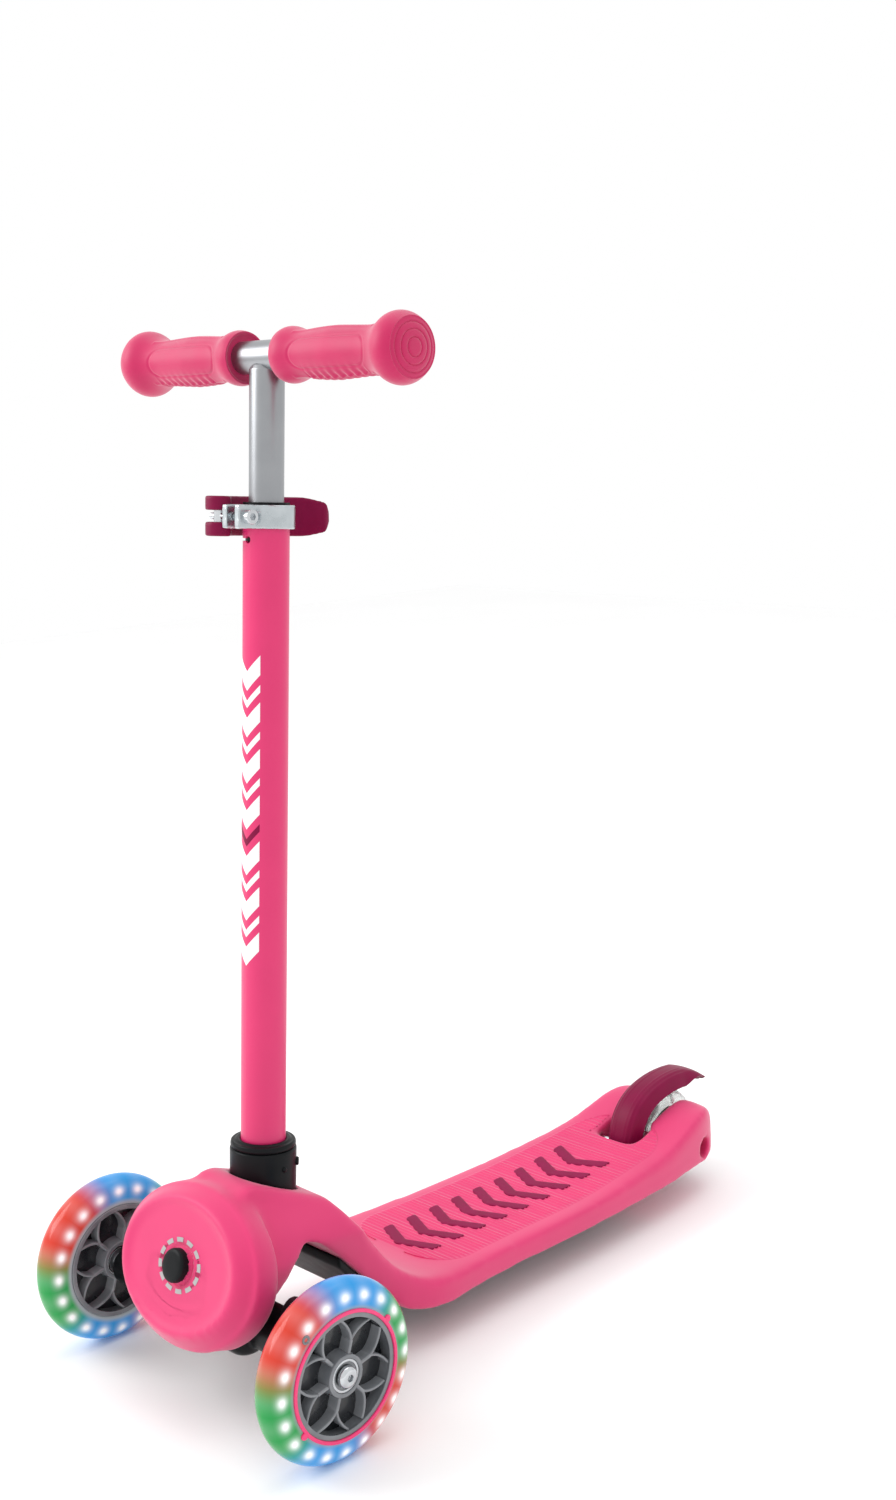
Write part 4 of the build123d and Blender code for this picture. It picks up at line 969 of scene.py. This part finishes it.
def brake_skin():
    """The fender: a spine between two creases, side skirts, thin ribs and a rounded tip."""
    crown, along = brake_crown(BRAKE_STATIONS)
    tangent = np.gradient(crown, axis=0)
    tangent /= np.linalg.norm(tangent, axis=1)[:, None]
    normal = np.column_stack([tangent[:, 1], -tangent[:, 0]])
    total = along[-1]
    rows = []
    for p, n, s in zip(crown, normal, along):
        to_tip = total - s
        tip = max(1 - (1 - min(to_tip / 9.0, 1)) ** 3, 0.0) ** (1 / 3)
        half = max(BRAKE_HALF * (0.86 + 0.14 * min(s / 30, 1)) * tip, 0.2)
        skirt = 9.0 * ease(s, 4, 22) * ease(to_tip, 6, 34)
        spine = 1.1 * ease(s, 6, 14) * ease(to_tip, 22, 34)
        cross = []
        for t in np.linspace(-1, 1, BRAKE_ACROSS):
            y = t * half
            crease = ease(abs(t), 0.50, 0.60)
            shoulder = ease(abs(t), 0.62, 1.0)
            rib = 0.35 * math.exp(-((abs(t) - 0.30) / 0.035) ** 2) * (1 if 20 < s < total - 30 else 0)
            drop = -2.0 * t ** 2 - spine * crease - skirt * shoulder ** 1.4 + rib
            cross.append((y, drop))
        thick = 3.0 + 1.2 * (1 - tip)
        under = [(y * 0.93, drop - thick if abs(y) < 0.8 * half else drop - 1.2)
                 for y, drop in reversed(cross)]
        for y, drop in cross + under:
            rows.append((p[0] + n[0] * drop, y, p[1] + n[1] * drop))
    loop = 2 * BRAKE_ACROSS
    faces = sheet_faces(len(crown), loop, wrap=True)
    faces += [list(range(loop))[::-1], list(range(len(rows) - loop, len(rows)))]
    shoe = build("brake_shoe", rows, faces, 50)
    dress(shoe, "berry", "brake", ["brake"])


brake_skin()

# ---------------------------------------------------------------- floor, light and camera
floor_co = [(x, y, -0.05) for x in np.linspace(-4000, 4000, 9) for y in np.linspace(-4000, 4000, 9)]
floor = build("floor", floor_co, sheet_faces(9, 9))
MATERIALS["floor"] = finish("floor_paper", (0.985, 0.985, 0.985), (0.975, 0.975, 0.975), (0.7, 0.8),
                            3, 200, 0.0001)
floor.data.materials.append(MATERIALS["floor"])

world = bpy.data.worlds.new("studio")
bpy.context.scene.world = world
world.use_nodes = True
world.node_tree.nodes["Background"].inputs["Color"].default_value = (1, 1, 1, 1)
world.node_tree.nodes["Background"].inputs["Strength"].default_value = 1.0


def soft_light(name, at, aim, size, power):
    """A large square area light pointed at a place."""
    data = bpy.data.lights.new(name, "AREA")
    data.size = size
    data.energy = power
    light = bpy.data.objects.new(name, data)
    bpy.context.scene.collection.objects.link(light)
    light.location = at
    light.rotation_euler = (Vector(aim) - Vector(at)).to_track_quat("-Z", "Y").to_euler()


soft_light("key", (1.5, -1.4, 1.5), (0, 0, 0.2), 1.3, 26)
soft_light("top", (-0.4, 0.2, 2.4), (-0.1, 0, 0), 1.6, 10)

VIEW_AZIMUTH, VIEW_RISE, VIEW_ROLL = (math.radians(a) for a in (45.67, 10.42, -1.89))
VIEW_DISTANCE = 1.31939
VIEW_LENS = 44.70
VIEW_TARGET = Vector((0.02762, 0.03501, 0.41981))
back = Vector((math.cos(VIEW_AZIMUTH) * math.cos(VIEW_RISE),
               math.sin(VIEW_AZIMUTH) * math.cos(VIEW_RISE), math.sin(VIEW_RISE)))
level = Vector((-math.sin(VIEW_AZIMUTH), math.cos(VIEW_AZIMUTH), 0))
upright = back.cross(level)
right = math.cos(VIEW_ROLL) * level + math.sin(VIEW_ROLL) * upright
up_axis = -math.sin(VIEW_ROLL) * level + math.cos(VIEW_ROLL) * upright
camera_data = bpy.data.cameras.new("camera")
camera_data.lens = VIEW_LENS
camera_data.sensor_width = 36
camera = bpy.data.objects.new("camera", camera_data)
bpy.context.scene.collection.objects.link(camera)
turn = Matrix((right, up_axis, back)).transposed().to_4x4()
camera.matrix_world = Matrix.Translation(VIEW_TARGET + back * VIEW_DISTANCE) @ turn
bpy.context.scene.camera = camera
bpy.context.scene.view_settings.view_transform = "Standard"
